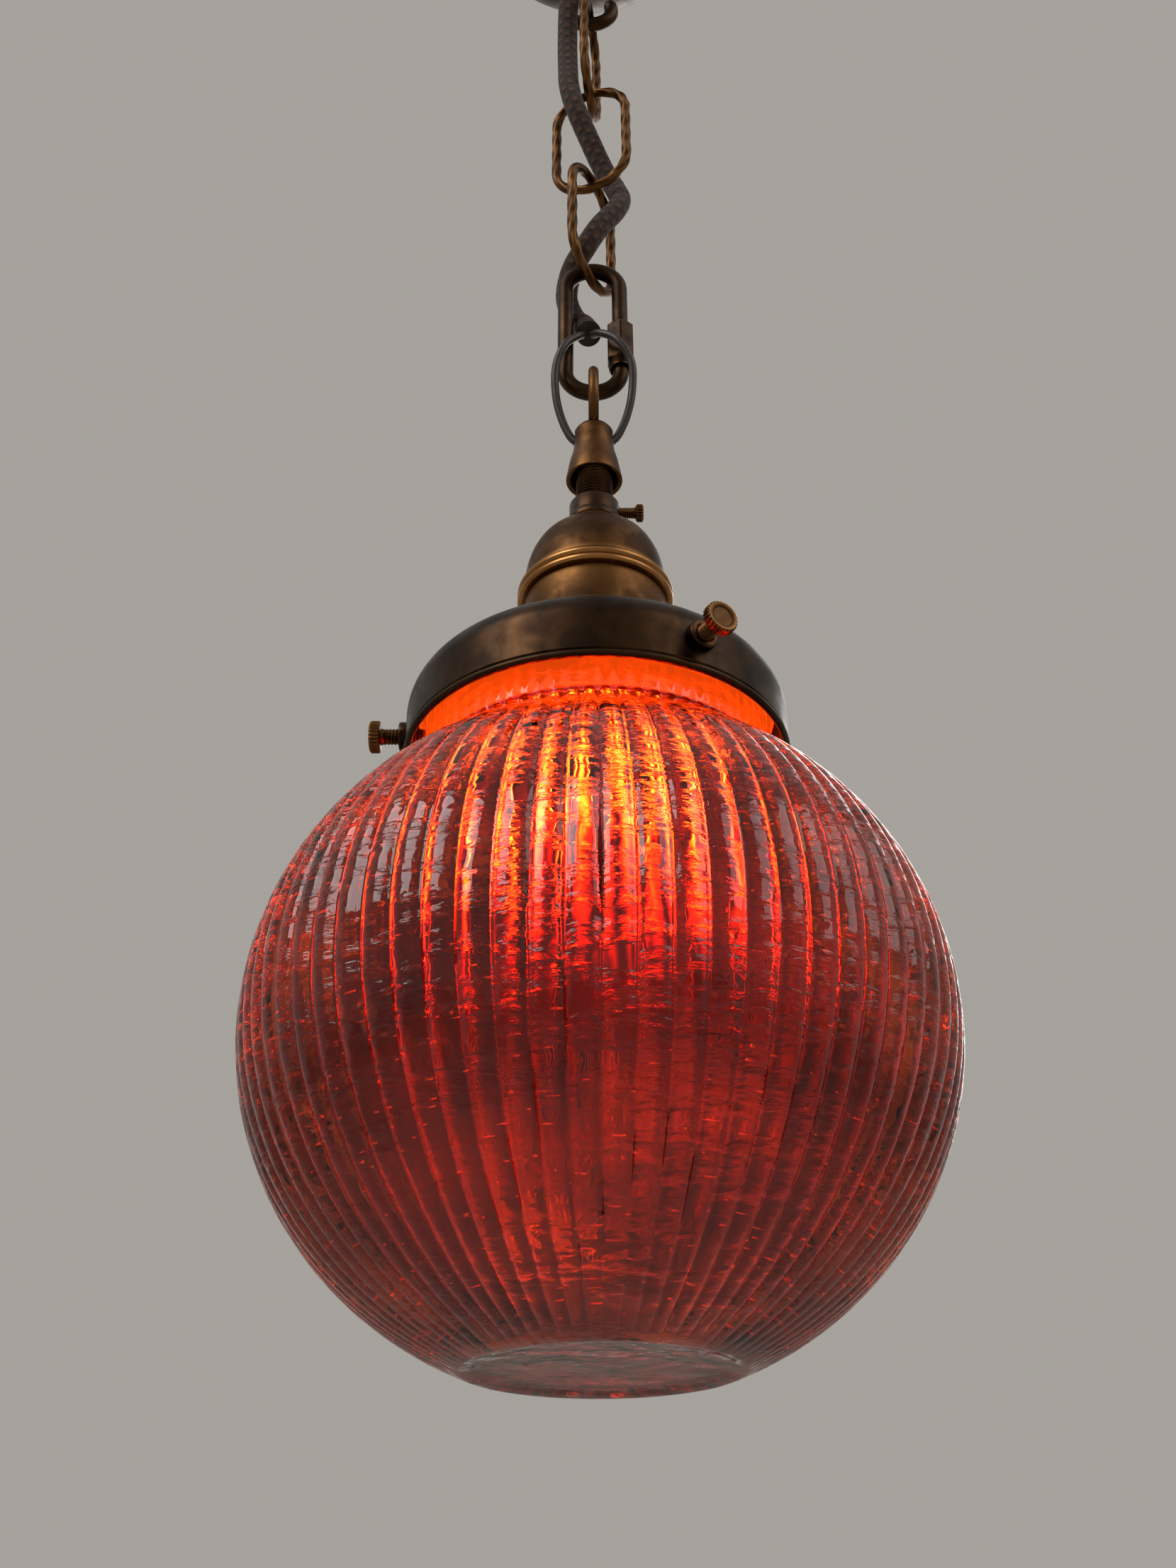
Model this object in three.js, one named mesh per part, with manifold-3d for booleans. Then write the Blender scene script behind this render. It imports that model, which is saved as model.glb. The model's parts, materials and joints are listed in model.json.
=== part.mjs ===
// Glass globe pendant lamp with a red bulb, hung from a ceiling hook on a short chain.
// Millimetres, +Z up. The origin is the middle of the backplate's top face, which lies on the ceiling.
// The lamp hangs down along -Z and +X is to the right when the lamp is seen from the front (-Y).
import * as THREE from 'three';
import { mergeVertices } from 'three/addons/utils/BufferGeometryUtils.js';
import Module from 'manifold-3d';

// ---------------------------------------------------------------- driving dimensions
const gap = 0.4;                    // between pieces that touch
const runningGap = 0.5;             // between a moving piece and what it moves in
const chainGap = 0.6;               // between one link and the next

const backplateR = 36;              // disc screwed to the ceiling
const backplateT = 2;
const plateSlotX = 26;              // centre of each fixing slot
const plateSlotL = 8;
const plateSlotW = 4.4;
const supplyHoleR = 4.5;            // hole for the house wiring
const supplyHoleY = 20;

const bridgeW = 14;                 // strap that carries the hook
const bridgeT = 2;
const bridgeHalfSpan = 17;
const bridgeDrop = 20;              // underside of the strap below the ceiling

const canopyRimR = 45;
const canopyWall = 1.2;
const canopyDepth = 37;
const canopyCrownR = 9;             // flat crown round the hook's stud

const hookRodR = 2.25;
const hookBowlR = 7.25;             // centre line of the bowl
const hookStudR = 3;
const hookCollarR = 7;
const hookCollarH = 4;
const hookDrop = 88.15;             // ceiling to the rod's centre at the bottom of the bowl
const hookBowlArc = [35, -190];     // from the bowl's open tip round to the swan neck, degrees
const hookTurnIn = 1;               // rod and stud run this far into the collar
const nutAcross = 10;
const nutH = 5;
const studProud = 1.5;              // stud's end above the nut

const cordR = 3.25;                 // braided flex
const coreR = 1.1;                  // one insulated core
const grommetWall = 0.6;
const grommetLip = 1.6;
const grommetSlack = 0.9;           // groove's half width beyond half the canopy's wall
const grommetRimH = 1.5;
const grommetAngle = 58 * Math.PI / 180;

const blockSize = [28, 12, 11];     // terminal block under the backplate
const blockY = -17;
const blockBoreR = 1.7;

const linkLength = 48.4;
const linkWidth = 26;
const linkWireR = 1.5;
const linkAzimuth = [80, -20, 60];  // plane of each link about the vertical, degrees

const quickLength = 53.6;
const quickWidth = 20;
const quickRodR = 2.25;
const sleeveR = 4;
const sleeveL = 17;
const sleeveRaise = 1;              // lower end of the sleeve above the end of the straight leg
const quickMouth = 8;               // opening that the sleeve closes

const eyeOuterR = 11;               // loop on top of the fitting
const eyeRodR = 1.4;
const neckProud = 0.6;              // neck's radius beyond the stem's
const neckH = 17.6;
const bellFlare = 2.7;              // bell's rim beyond the stem's radius
const bellWall = 1.1;
const bellDepth = 5;
const stemEngage = 4.5;             // thread above the bell's hollow
const wireHoleR = 1.85;             // side holes where the cores go in
const wireHoleLean = 41 * Math.PI / 180;
const wireHoleDown = 7;             // where the side holes meet the wireway, below the neck's top
const wireWayR = 3.4;
const wireWayRoof = 1.8;            // below the neck's top

const stemR = 4.8;
const stemShown = 8;                // between the bell and the collar
const stemInCap = 4;                // end of the stem below the cap's top
const collarProud = 2.4;            // beyond the stem's radius
const collarH = 8;
const gripHeadR = 2.4;
const gripShankR = 1.5;
const gripReach = 5.6;              // head's outer face beyond the collar
const gripHeadL = 2;
const gripUp = 0.62;                // screw's height as a share of the collar's

const capH = 22.5;                  // domed cap of the lampholder
const capWall = 1.2;
const capCrownH = 3;                // turned crown on top of the dome
const capCrownProud = 0.8;          // beyond the collar
const holderR = 18;                 // lampholder shell
const holderWall = 1;
const beadProud = 1.8;              // beads beyond the shell
const beadRodR = 1.15;
const beadPitch = 2.1;
const shellShown = 11.6;            // from the beads to the shell's flange
const flangeProud = 1;
const flangeH = 1.4;
const holderSkirt = 32;             // hidden length below the flange, through the gallery
const shadeRingW = 5;               // ring's width outside the shell
const shadeRingH = 3.2;
const threadShown = 12;             // holder's thread between the flange and the upper shade ring

const insulatorBoreGap = 1;         // round the screw shell
const insulatorTop = 6;             // thickness above the bulb's contact
const contactUp = 3;                // contact face above the shell's flange
const contactR = 3;
const stalkR = 1.8;                 // contact's stalk through the insulator
const screwShellR = 13.8;           // inside of the screw shell
const screwShellT = 0.6;
const screwShellH = 22;
const screwShellDown = 1.5;         // top of the screw shell below the contact's face
const terminalSize = [5, 5, 5];
const terminalX = 9;
const terminalScrewR = 1.3;
const terminalHeadR = 2;
const terminalHeadL = 1.2;

const galleryClear = 1.4;           // between the globe's lip and the gallery that covers it
const galleryWall = 1.3;
const galleryH = 21;
const galleryShoulderR = 10;
const screwUp = 9;                  // thumbscrew axis above the gallery's rim
const screwShankR = 2;
const screwHeadR = 3.9;
const screwHeadL = 2.6;
const screwShown = 4.4;             // bare shank between boss and head
const bossR = 3.6;
const bossL = 1.8;
const screwAzimuth = [180, -60, 60];

const globeR = 76;
const globeFlat = 0.96;             // height over width
const globeWall = 3;
const globeBaseR = 28;
const globeNeckR = 40.6;
const globeLipProud = 2;            // lip beyond the neck
const globeLipH = 3.5;
const globeLipBelow = 6.2;          // top of the lip below the gallery's top
const neckShown = 6.3;              // neck left bare under the gallery

const bulbR = 30;
const bulbLength = 80;              // glass below the cap
const bulbNeckR = 12.4;
const bulbWall = 0.8;
const bulbCapR = 13.2;
const bulbCapH = 23;
const bulbCapWall = 0.5;
const bulbCapCone = 5;              // height of the cone under the tip
const bulbGlassInCap = 4;
const bulbShoulder = [3.4, 14];     // point on the glass: out from its neck, down from the cap
const bulbTipR = 4;
const bulbTipH = 2.4;

// ---------------------------------------------------------------- helpers
const wasm = await Module();
wasm.setup();
const object = new THREE.Group();
const radians = (degrees) => degrees * Math.PI / 180;

// One watertight surface: merged vertices, no collapsed triangles, faces pointing out.
function closed(geometry) {
  const bare = geometry.clone();
  bare.deleteAttribute('normal');
  bare.deleteAttribute('uv');
  const merged = mergeVertices(bare, 1e-4);
  const place = merged.getAttribute('position');
  const corner = (i) => new THREE.Vector3().fromBufferAttribute(place, i);
  const kept = [];
  let volume = 0;
  for (let i = 0; i < merged.index.count; i += 3) {
    const [a, b, c] = [0, 1, 2].map((k) => merged.index.getX(i + k));
    if (a === b || b === c || c === a) continue;
    kept.push([a, b, c]);
    volume += corner(a).dot(corner(b).cross(corner(c)));
  }
  merged.setIndex(kept.flatMap(([a, b, c]) => (volume > 0 ? [a, b, c] : [a, c, b])));
  return merged;
}

function solid(geometry) {
  const whole = closed(geometry);
  const vertProperties = Float32Array.from(whole.getAttribute('position').array);
  const triVerts = Uint32Array.from(whole.index.array);
  return new wasm.Manifold(new wasm.Mesh({ numProp: 3, vertProperties, triVerts }));
}

function surface(manifold) {
  const mesh = manifold.getMesh();
  const geometry = new THREE.BufferGeometry();
  geometry.setAttribute('position', new THREE.BufferAttribute(mesh.vertProperties, 3));
  geometry.setIndex(new THREE.BufferAttribute(mesh.triVerts, 1));
  return geometry;
}

// A turned shape about +Z from [radius, height] pairs; a profile off the axis closes on itself.
function turned(profile, sides = 40) {
  const points = profile.map(([r, z]) => new THREE.Vector2(r, z));
  const onAxis = profile[0][0] === 0 && profile[profile.length - 1][0] === 0;
  if (!onAxis) points.push(points[0].clone());
  return new THREE.LatheGeometry(points, sides).rotateX(Math.PI / 2);
}

const disc = (r, low, high, sides = 32) => turned([[0, low], [r, low], [r, high], [0, high]], sides);
const tube = (inner, outer, low, high, sides = 40) =>
  turned([[inner, low], [outer, low], [outer, high], [inner, high]], sides);

// Points of an arc in a profile, angles in degrees.
function arc(centre, radius, from, to, steps) {
  const across = Array.isArray(radius) ? radius : [radius, radius];
  return Array.from({ length: steps + 1 }, (_, i) => {
    const angle = radians(from + (to - from) * i / steps);
    return [centre[0] + across[0] * Math.cos(angle), centre[1] + across[1] * Math.sin(angle)];
  });
}

// A round bar along an open curve.
function bar(curve, radius, steps, sides) {
  const section = new THREE.Shape();
  section.absarc(0, 0, radius, 0, Math.PI * 2);
  const options = { steps, extrudePath: curve, bevelEnabled: false, curveSegments: sides / 2 };
  return new THREE.ExtrudeGeometry(section, options);
}

// A stadium outline in the XZ plane, run from the middle of its right leg, round the top.
class Stadium extends THREE.Curve {
  constructor(halfStraight, radius, from = 0, to = 1) {
    super();
    Object.assign(this, { halfStraight, radius, from, to });
  }

  getPoint(t, target = new THREE.Vector3()) {
    const bend = Math.PI * this.radius;
    const total = 4 * this.halfStraight + 2 * bend;
    const run = (this.from + (this.to - this.from) * t) * total;
    const h = this.halfStraight;
    if (run < h) return target.set(this.radius, 0, run);
    if (run < h + bend) return this.end(run - h, h, 0, target);
    if (run < 3 * h + bend) return target.set(-this.radius, 0, 2 * h + bend - run);
    if (run < 3 * h + 2 * bend) return this.end(run - 3 * h - bend, -h, Math.PI, target);
    return target.set(this.radius, 0, run - total);
  }

  end(along, height, start, target) {
    const angle = start + along / this.radius;
    return target.set(this.radius * Math.cos(angle), 0, height + this.radius * Math.sin(angle));
  }

  get length() {
    return 4 * this.halfStraight + 2 * Math.PI * this.radius;
  }
}

function add(name, geometry, material, place = [0, 0, 0], turn = [0, 0, 0], parent = object) {
  const mesh = new THREE.Mesh(closed(geometry), material);
  mesh.name = name;
  mesh.position.set(...place);
  mesh.rotation.set(...turn);
  parent.add(mesh);
  return mesh;
}

// ---------------------------------------------------------------- materials
const finish = (color, roughness, metalness) =>
  new THREE.MeshStandardMaterial({ color, roughness, metalness });
const agedBrass = finish(0x6b4a22, 0.42, 1);
const darkBrass = finish(0x33241a, 0.5, 1);
const brightBrass = finish(0xb08a45, 0.35, 1);
const steel = finish(0x8b8d90, 0.4, 1);
const fabric = finish(0x3b2317, 0.9, 0);
const coreSleeve = finish(0x4a2c1c, 0.5, 0);
const rubber = finish(0x1c1a18, 0.7, 0);
const plastic = finish(0xe4e0d6, 0.5, 0);
const ceramic = finish(0xe9e4d8, 0.35, 0);
const rubyGlass = finish(0xb3101a, 0.05, 0);
const redLacquer = finish(0xe02418, 0.2, 0);

// ---------------------------------------------------------------- sizes that follow from others
const neckTopR = stemR + neckProud;
const bellRimR = stemR + bellFlare;
const collarR = stemR + collarProud;
const beadR = holderR + beadProud;
const flangeR = holderR + flangeProud;
const shadeRingR = holderR + shadeRingW;
const globeLipR = globeNeckR + globeLipProud;
const galleryR = globeLipR + galleryClear + galleryWall;
const globeTall = globeR * globeFlat;
const grommetWaist = cordR + gap + grommetWall;
const grommetHoleR = grommetWaist + gap;

// Degrees up from the globe's middle to a given radius, on a wall of the given half width.
const slope = (radius, half) => Math.acos(radius / half) * 180 / Math.PI;

// ---------------------------------------------------------------- ceiling fitting
const studTop = -(bridgeDrop - bridgeT - nutH - studProud);
const crownZ = -canopyDepth;
const collarTop = crownZ - gap;
const hookRodTop = collarTop - hookCollarH;

function makeBackplate() {
  let plate = solid(disc(backplateR, -backplateT, 0, 48));
  for (const side of [-1, 1]) {
    const slot = new THREE.BoxGeometry(plateSlotL, plateSlotW, backplateT * 3);
    plate = plate.subtract(solid(slot.translate(side * plateSlotX, 0, 0)));
  }
  const hole = disc(supplyHoleR, -backplateT * 2, backplateT, 20).translate(0, supplyHoleY, 0);
  add('backplate', surface(plate.subtract(solid(hole))), steel);
}

function makeBridge() {
  const top = -backplateT - gap;
  const low = -bridgeDrop;
  const half = bridgeHalfSpan;
  const outline = new THREE.Shape([
    [-half, top], [-half, low], [half, low], [half, top],
    [half - bridgeT, top], [half - bridgeT, low + bridgeT],
    [-half + bridgeT, low + bridgeT], [-half + bridgeT, top],
  ].map(([x, z]) => new THREE.Vector2(x, z)));
  const strap = new THREE.ExtrudeGeometry(outline, { depth: bridgeW, bevelEnabled: false });
  strap.rotateX(Math.PI / 2).translate(0, bridgeW / 2, 0);
  const hole = disc(hookStudR + gap, low - 1, low + bridgeT + 1, 24);
  add('hanger_bridge', surface(solid(strap).subtract(solid(hole))), steel);
}

function makeNut() {
  const low = -bridgeDrop + bridgeT + gap;
  const hex = new THREE.CylinderGeometry(nutAcross / Math.sqrt(3), nutAcross / Math.sqrt(3), nutH, 6);
  hex.rotateX(Math.PI / 2).translate(0, 0, low + nutH / 2);
  const bore = disc(hookStudR + gap, low - 1, low + nutH + 1, 24);
  add('hook_nut', surface(solid(hex).subtract(solid(bore))), steel);
}

// The dome's outer surface, from the rim to the crown.
const domeR = (angle) => canopyCrownR + (canopyRimR - canopyCrownR) * Math.cos(angle);
const domeZ = (angle) => -gap - (canopyDepth - gap) * Math.sin(angle);
const domeNormal = (angle) => {
  const across = canopyRimR - canopyCrownR;
  const deep = canopyDepth - gap;
  return new THREE.Vector2(deep * Math.cos(angle), -across * Math.sin(angle)).normalize();
};

function grommetPlace(outward) {
  const n = domeNormal(grommetAngle);
  const r = domeR(grommetAngle) + n.x * outward;
  return new THREE.Vector3(0, -r, domeZ(grommetAngle) + n.y * outward);
}

// Stands a shape made about +Z square on the dome at the grommet, its +Z pointing out.
function onDome(geometry, outward) {
  const n = domeNormal(grommetAngle);
  const way = new THREE.Vector3(0, -n.x, n.y);
  const turn = new THREE.Quaternion().setFromUnitVectors(new THREE.Vector3(0, 0, 1), way);
  return geometry.applyQuaternion(turn).translate(...grommetPlace(outward).toArray());
}

function makeCanopy() {
  const across = [canopyRimR - canopyCrownR, -(canopyDepth - gap)];
  const outer = arc([canopyCrownR, -gap], across, 0, 90, 8);
  const thin = [across[0] - canopyWall, across[1] + canopyWall];
  const inner = arc([canopyCrownR, -gap], thin, 90, 0, 8);
  const bore = hookStudR + gap;
  const profile = [...outer, [bore, crownZ], [bore, crownZ + canopyWall], ...inner];
  const hole = onDome(disc(grommetHoleR, -6, 6, 24), 0);
  const shell = solid(turned(profile, 40)).subtract(solid(hole));
  add('canopy', surface(shell), darkBrass);
}

function makeGrommet() {
  const bore = cordR + gap;
  const waist = grommetWaist;
  const lip = waist + grommetLip;
  const half = canopyWall / 2 + grommetSlack;
  const rim = grommetRimH;
  const profile = [
    [bore, -half - rim], [lip, -half - rim], [lip, -half], [waist, -half],
    [waist, half], [lip, half], [lip, half + rim], [bore, half + rim],
  ];
  add('cord_grommet', onDome(turned(profile, 24), -canopyWall / 2), rubber);
}

function makeTerminalBlock() {
  const [w, d, h] = blockSize;
  const mid = -backplateT - gap - h / 2;
  let block = solid(new THREE.BoxGeometry(w, d, h).translate(0, blockY, mid));
  for (const x of [-w / 3, 0, w / 3]) {
    const bore = disc(blockBoreR, -d, d, 16).rotateX(Math.PI / 2).translate(x, blockY, mid);
    block = block.subtract(solid(bore));
  }
  add('terminal_block', surface(block), plastic);
}

// The hook: stud, collar, a swan neck and an open bowl centred on the lamp's axis.
function makeHook() {
  const centre = -hookDrop + hookBowlR;
  const bowl = arc([0, centre], hookBowlR, ...hookBowlArc, 12);
  const neckRise = (hookRodTop - centre) / 3;
  const points = [
    ...bowl,
    [-hookBowlR * 0.55, centre + neckRise * 1.15],
    [-hookBowlR * 0.12, centre + neckRise * 1.9],
    [0, centre + neckRise * 2.5],
    [0, hookRodTop + hookTurnIn],
  ].map(([x, z]) => new THREE.Vector3(x, 0, z));
  const rod = bar(new THREE.CatmullRomCurve3(points), hookRodR, 26, 8);
  const collar = disc(hookCollarR, hookRodTop, collarTop, 32);
  const stud = disc(hookStudR, collarTop - hookTurnIn, studTop, 20);
  const hook = solid(rod).add(solid(collar)).add(solid(stud));
  add('ceiling_hook', surface(hook), darkBrass);
}

// ---------------------------------------------------------------- chain
const linkPitch = linkLength - 4 * linkWireR - chainGap;
const firstLinkTop = -hookDrop + hookRodR + chainGap + 2 * linkWireR;
const linkMid = (i) => firstLinkTop - linkLength / 2 - i * linkPitch;
const lastLinkBottom = linkMid(linkAzimuth.length - 1) - linkLength / 2;
const quickTop = lastLinkBottom + 2 * linkWireR + chainGap + 2 * quickRodR;
const quickMid = quickTop - quickLength / 2;
const quickEndR = quickWidth / 2 - quickRodR;
const quickHalfLeg = quickLength / 2 - quickRodR - quickEndR;
const quickInnerBottom = quickTop - quickLength + 2 * quickRodR;
const eyeRingR = eyeOuterR - eyeRodR;
const eyeTop = quickInnerBottom + chainGap + 2 * eyeRodR;
const eyeMid = eyeTop - eyeOuterR;

function makeLinks() {
  const endR = linkWidth / 2 - linkWireR;
  const halfLeg = linkLength / 2 - linkWireR - endR;
  linkAzimuth.forEach((azimuth, i) => {
    const ring = new THREE.TubeGeometry(new Stadium(halfLeg, endR), 30, linkWireR, 8, true);
    add(`chain_link_${i + 1}`, ring, agedBrass, [0, 0, linkMid(i)], [0, 0, radians(azimuth)]);
  });
}

// The quick link is open on its right leg, where the sleeve nut closes it.
function makeQuickLink() {
  const outline = new Stadium(quickHalfLeg, quickEndR);
  const sleeveLow = -quickHalfLeg + sleeveRaise;
  const mouthLow = sleeveLow + (sleeveL - quickMouth) / 2;
  const from = (mouthLow + quickMouth) / outline.length;
  const to = 1 + mouthLow / outline.length;
  const open = new Stadium(quickHalfLeg, quickEndR, from, to);
  add('quick_link', bar(open, quickRodR, 36, 8), darkBrass, [0, 0, quickMid]);
  const sleeve = tube(quickRodR + runningGap, sleeveR, sleeveLow, sleeveLow + sleeveL, 24);
  add('quick_link_sleeve', sleeve, agedBrass, [quickEndR, 0, quickMid]);
}

// ---------------------------------------------------------------- lamp, heights above the globe's centre
const galleryRim = globeTall * Math.sin(radians(slope(globeNeckR, globeR))) + neckShown;
const galleryTop = galleryRim + galleryH;
const flangeZ = galleryTop + 2 * gap + shadeRingH + threadShown;
const beadZ = flangeZ + shellShown;
const capLow = beadZ + 2 * beadPitch;
const capTop = beadZ + beadPitch + capH;
const collarLow = capTop + gap;
const collarHigh = collarLow + collarH;
const bellLow = collarHigh + stemShown;
const neckTop = bellLow + neckH;
const lamp = new THREE.Group();
lamp.position.z = eyeMid - eyeRingR - neckTop;
object.add(lamp);
const addToLamp = (name, geometry, material, place, turn) =>
  add(name, geometry, material, place, turn, lamp);

const coreX = coreR + runningGap;    // each core's distance from the lamp's axis inside the wireway

function makeNeck() {
  const throat = bellLow + bellDepth;
  const profile = [
    [0, neckTop + eyeRodR * 0.6], [neckTopR - 1, neckTop + eyeRodR * 0.6], [neckTopR, neckTop - 0.6],
    [neckTopR, neckTop - 5], [bellRimR - 1, neckTop - 11], [bellRimR, bellLow],
    [bellRimR - bellWall, bellLow], [bellRimR - bellWall - 1, throat - 2], [stemR + gap, throat],
    [stemR + gap, throat + stemEngage], [wireWayR, throat + stemEngage],
    [wireWayR, neckTop - wireWayRoof - 0.7], [0, neckTop - wireWayRoof],
  ];
  const eye = new THREE.TorusGeometry(eyeRingR, eyeRodR, 8, 28).rotateY(Math.PI / 2);
  eye.translate(0, 0, neckTop + eyeRingR);
  let neck = solid(turned(profile, 24)).add(solid(eye));
  for (const side of [-1, 1]) {
    const hole = disc(wireHoleR, -1, neckTopR * 2, 14).rotateY(side * wireHoleLean);
    neck = neck.subtract(solid(hole.translate(side * coreX, 0, neckTop - wireHoleDown)));
  }
  addToLamp('loop_neck', surface(neck), agedBrass);
}

function makeStem() {
  const low = capTop - stemInCap;
  const high = bellLow + bellDepth + stemEngage - gap;
  addToLamp('threaded_stem', tube(wireWayR, stemR, low, high, 28), agedBrass);
}

function makeCollar() {
  const profile = [
    [stemR + gap, collarLow], [collarR, collarLow], [collarR, collarLow + 2],
    [collarR - 0.6, collarLow + 3], [collarR - 0.6, collarHigh - 1], [collarR - 1.4, collarHigh],
    [stemR + gap, collarHigh],
  ];
  const height = collarLow + collarH * gripUp;
  const hole = disc(gripShankR + gap, 0, collarR * 2, 16).rotateY(Math.PI / 2).translate(0, 0, height);
  addToLamp('cord_grip_collar', surface(solid(turned(profile, 28)).subtract(solid(hole))), darkBrass);
  const start = stemR + gap;
  const headLow = collarR + gripReach - gripHeadL;
  const screw = turned([
    [0, start], [gripShankR, start], [gripShankR, headLow], [gripHeadR, headLow],
    [gripHeadR, headLow + gripHeadL], [0, headLow + gripHeadL],
  ], 14).rotateY(Math.PI / 2);
  addToLamp('cord_grip_screw', screw, agedBrass, [0, 0, height]);
}

function makeCap() {
  const rise = capTop - capLow;
  const crownR = collarR + capCrownProud;
  const shoulder = holderR - crownR;
  const bend = rise - capCrownH;
  const outer = arc([holderR - shoulder, capLow], [shoulder, bend], 0, 82, 6);
  const inner = arc([holderR - shoulder, capLow], [shoulder - capWall, bend - capWall], 82, 0, 6);
  const crown = [[crownR, capTop - 1], [collarR, capTop], [stemR + gap, capTop]];
  const under = [[stemR + gap, capTop - capCrownH]];
  addToLamp('lampholder_cap', turned([...outer, ...crown, ...under, ...inner], 36), agedBrass);
}

// Two half-round beads joined by a thin band, screwed round the joint between cap and shell.
function makeBeads() {
  const band = beadR - beadRodR * 1.3;
  const low = beadZ - beadRodR;
  const ridge = (z) => arc([beadR - beadRodR, z], beadRodR, -80, 80, 3);
  const profile = [
    [holderR + gap, low], [band, low], ...ridge(beadZ), ...ridge(beadZ + beadPitch),
    [band, low + 2 * beadRodR + beadPitch], [holderR + gap, low + 2 * beadRodR + beadPitch],
  ];
  addToLamp('bead_ring', turned(profile, 36), brightBrass);
}

function makeShell() {
  const low = flangeZ - holderSkirt;
  const high = capLow - gap;
  const inner = holderR - holderWall;
  const profile = [
    [inner, low], [holderR, low], [holderR, flangeZ - flangeH], [flangeR, flangeZ - flangeH],
    [flangeR, flangeZ], [holderR, flangeZ], [holderR, high], [inner, high],
  ];
  addToLamp('lampholder_shell', turned(profile, 36), agedBrass);
}

function makeShadeRings() {
  const bore = holderR + gap;
  const upper = galleryTop + gap;
  const lower = galleryTop - galleryWall - gap - shadeRingH;
  addToLamp('shade_ring_upper', tube(bore, shadeRingR, upper, upper + shadeRingH, 36), agedBrass);
  addToLamp('shade_ring_lower', tube(bore, shadeRingR, lower, lower + shadeRingH, 36), agedBrass);
}

// Inside the lampholder: insulator, screw shell, contact and terminals.
const insulatorR = holderR - holderWall - gap;
const contactZ = flangeZ + contactUp;
const contactFace = contactZ - 2.2;   // lowest point of the contact
const insulatorHigh = contactZ + insulatorTop;
const screwShellTop = contactZ - screwShellDown;

function makeInsulator() {
  const low = screwShellTop - screwShellH - 2;
  const bore = screwShellR + screwShellT + insulatorBoreGap;
  const profile = [
    [bore, low], [insulatorR, low], [insulatorR, insulatorHigh], [stalkR + gap, insulatorHigh],
    [stalkR + gap, contactZ], [bore, contactZ],
  ];
  addToLamp('lampholder_insulator', turned(profile, 32), ceramic);
  const shellLow = screwShellTop - screwShellH;
  const outer = screwShellR + screwShellT;
  addToLamp('screw_shell', tube(screwShellR, outer, shellLow, screwShellTop, 32), brightBrass);
  const stalk = turned([
    [0, contactFace], [contactR, contactFace + 0.8], [contactR, contactZ - gap], [stalkR, contactZ - gap],
    [stalkR, insulatorHigh + 1], [0, insulatorHigh + 1],
  ], 20);
  addToLamp('centre_contact', stalk, brightBrass);
}

function makeTerminals() {
  const [w, d, h] = terminalSize;
  const low = insulatorHigh + gap;
  for (const [name, side] of [['left', -1], ['right', 1]]) {
    const block = new THREE.BoxGeometry(w, d, h).translate(side * terminalX, 0, low + h / 2);
    const bore = disc(terminalScrewR + gap, -d, 0, 14).rotateX(-Math.PI / 2);
    bore.translate(side * terminalX, 0, low + h / 2);
    addToLamp(`terminal_${name}`, surface(solid(block).subtract(solid(bore))), brightBrass);
    const screw = turned([
      [0, 1], [terminalScrewR, 1], [terminalScrewR, d / 2 + gap], [terminalHeadR, d / 2 + gap],
      [terminalHeadR, d / 2 + gap + terminalHeadL], [0, d / 2 + gap + terminalHeadL],
    ], 14).rotateX(Math.PI / 2);
    addToLamp(`terminal_screw_${name}`, screw, steel, [side * terminalX, 0, low + h / 2]);
  }
}

// ---------------------------------------------------------------- gallery and thumbscrews
const screwZ = galleryRim + screwUp;

function makeGallery() {
  const rim = galleryR;
  const inner = galleryR - galleryWall;
  const s = galleryShoulderR;
  const bore = holderR + gap;
  const outerArc = arc([rim - s, galleryTop - s], s, 0, 90, 4);
  const innerArc = arc([rim - s, galleryTop - s], s - galleryWall, 90, 0, 4);
  const profile = [
    [inner, galleryRim], [rim, galleryRim], ...outerArc, [bore, galleryTop],
    [bore, galleryTop - galleryWall], ...innerArc,
  ];
  let gallery = solid(turned(profile, 48));
  for (const azimuth of screwAzimuth) {
    const boss = disc(bossR, inner + 0.2, galleryR + bossL, 16);
    const hole = disc(screwShankR + gap, globeNeckR, galleryR + bossL + 2, 14);
    const stand = (g) => solid(g.rotateY(Math.PI / 2).rotateZ(radians(azimuth)).translate(0, 0, screwZ));
    gallery = gallery.add(stand(boss)).subtract(stand(hole));
  }
  addToLamp('gallery', surface(gallery), darkBrass);
}

function makeThumbscrews() {
  const tip = globeNeckR + gap;
  const headLow = galleryR + bossL + screwShown;
  const profile = [
    [0, tip], [screwShankR, tip], [screwShankR, headLow], [screwHeadR, headLow],
    [screwHeadR, headLow + screwHeadL], [0, headLow + screwHeadL],
  ];
  screwAzimuth.forEach((azimuth, i) => {
    const screw = turned(profile, 16).rotateY(Math.PI / 2).rotateZ(radians(azimuth));
    addToLamp(`gallery_screw_${i + 1}`, screw, agedBrass, [0, 0, screwZ]);
  });
}

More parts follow.
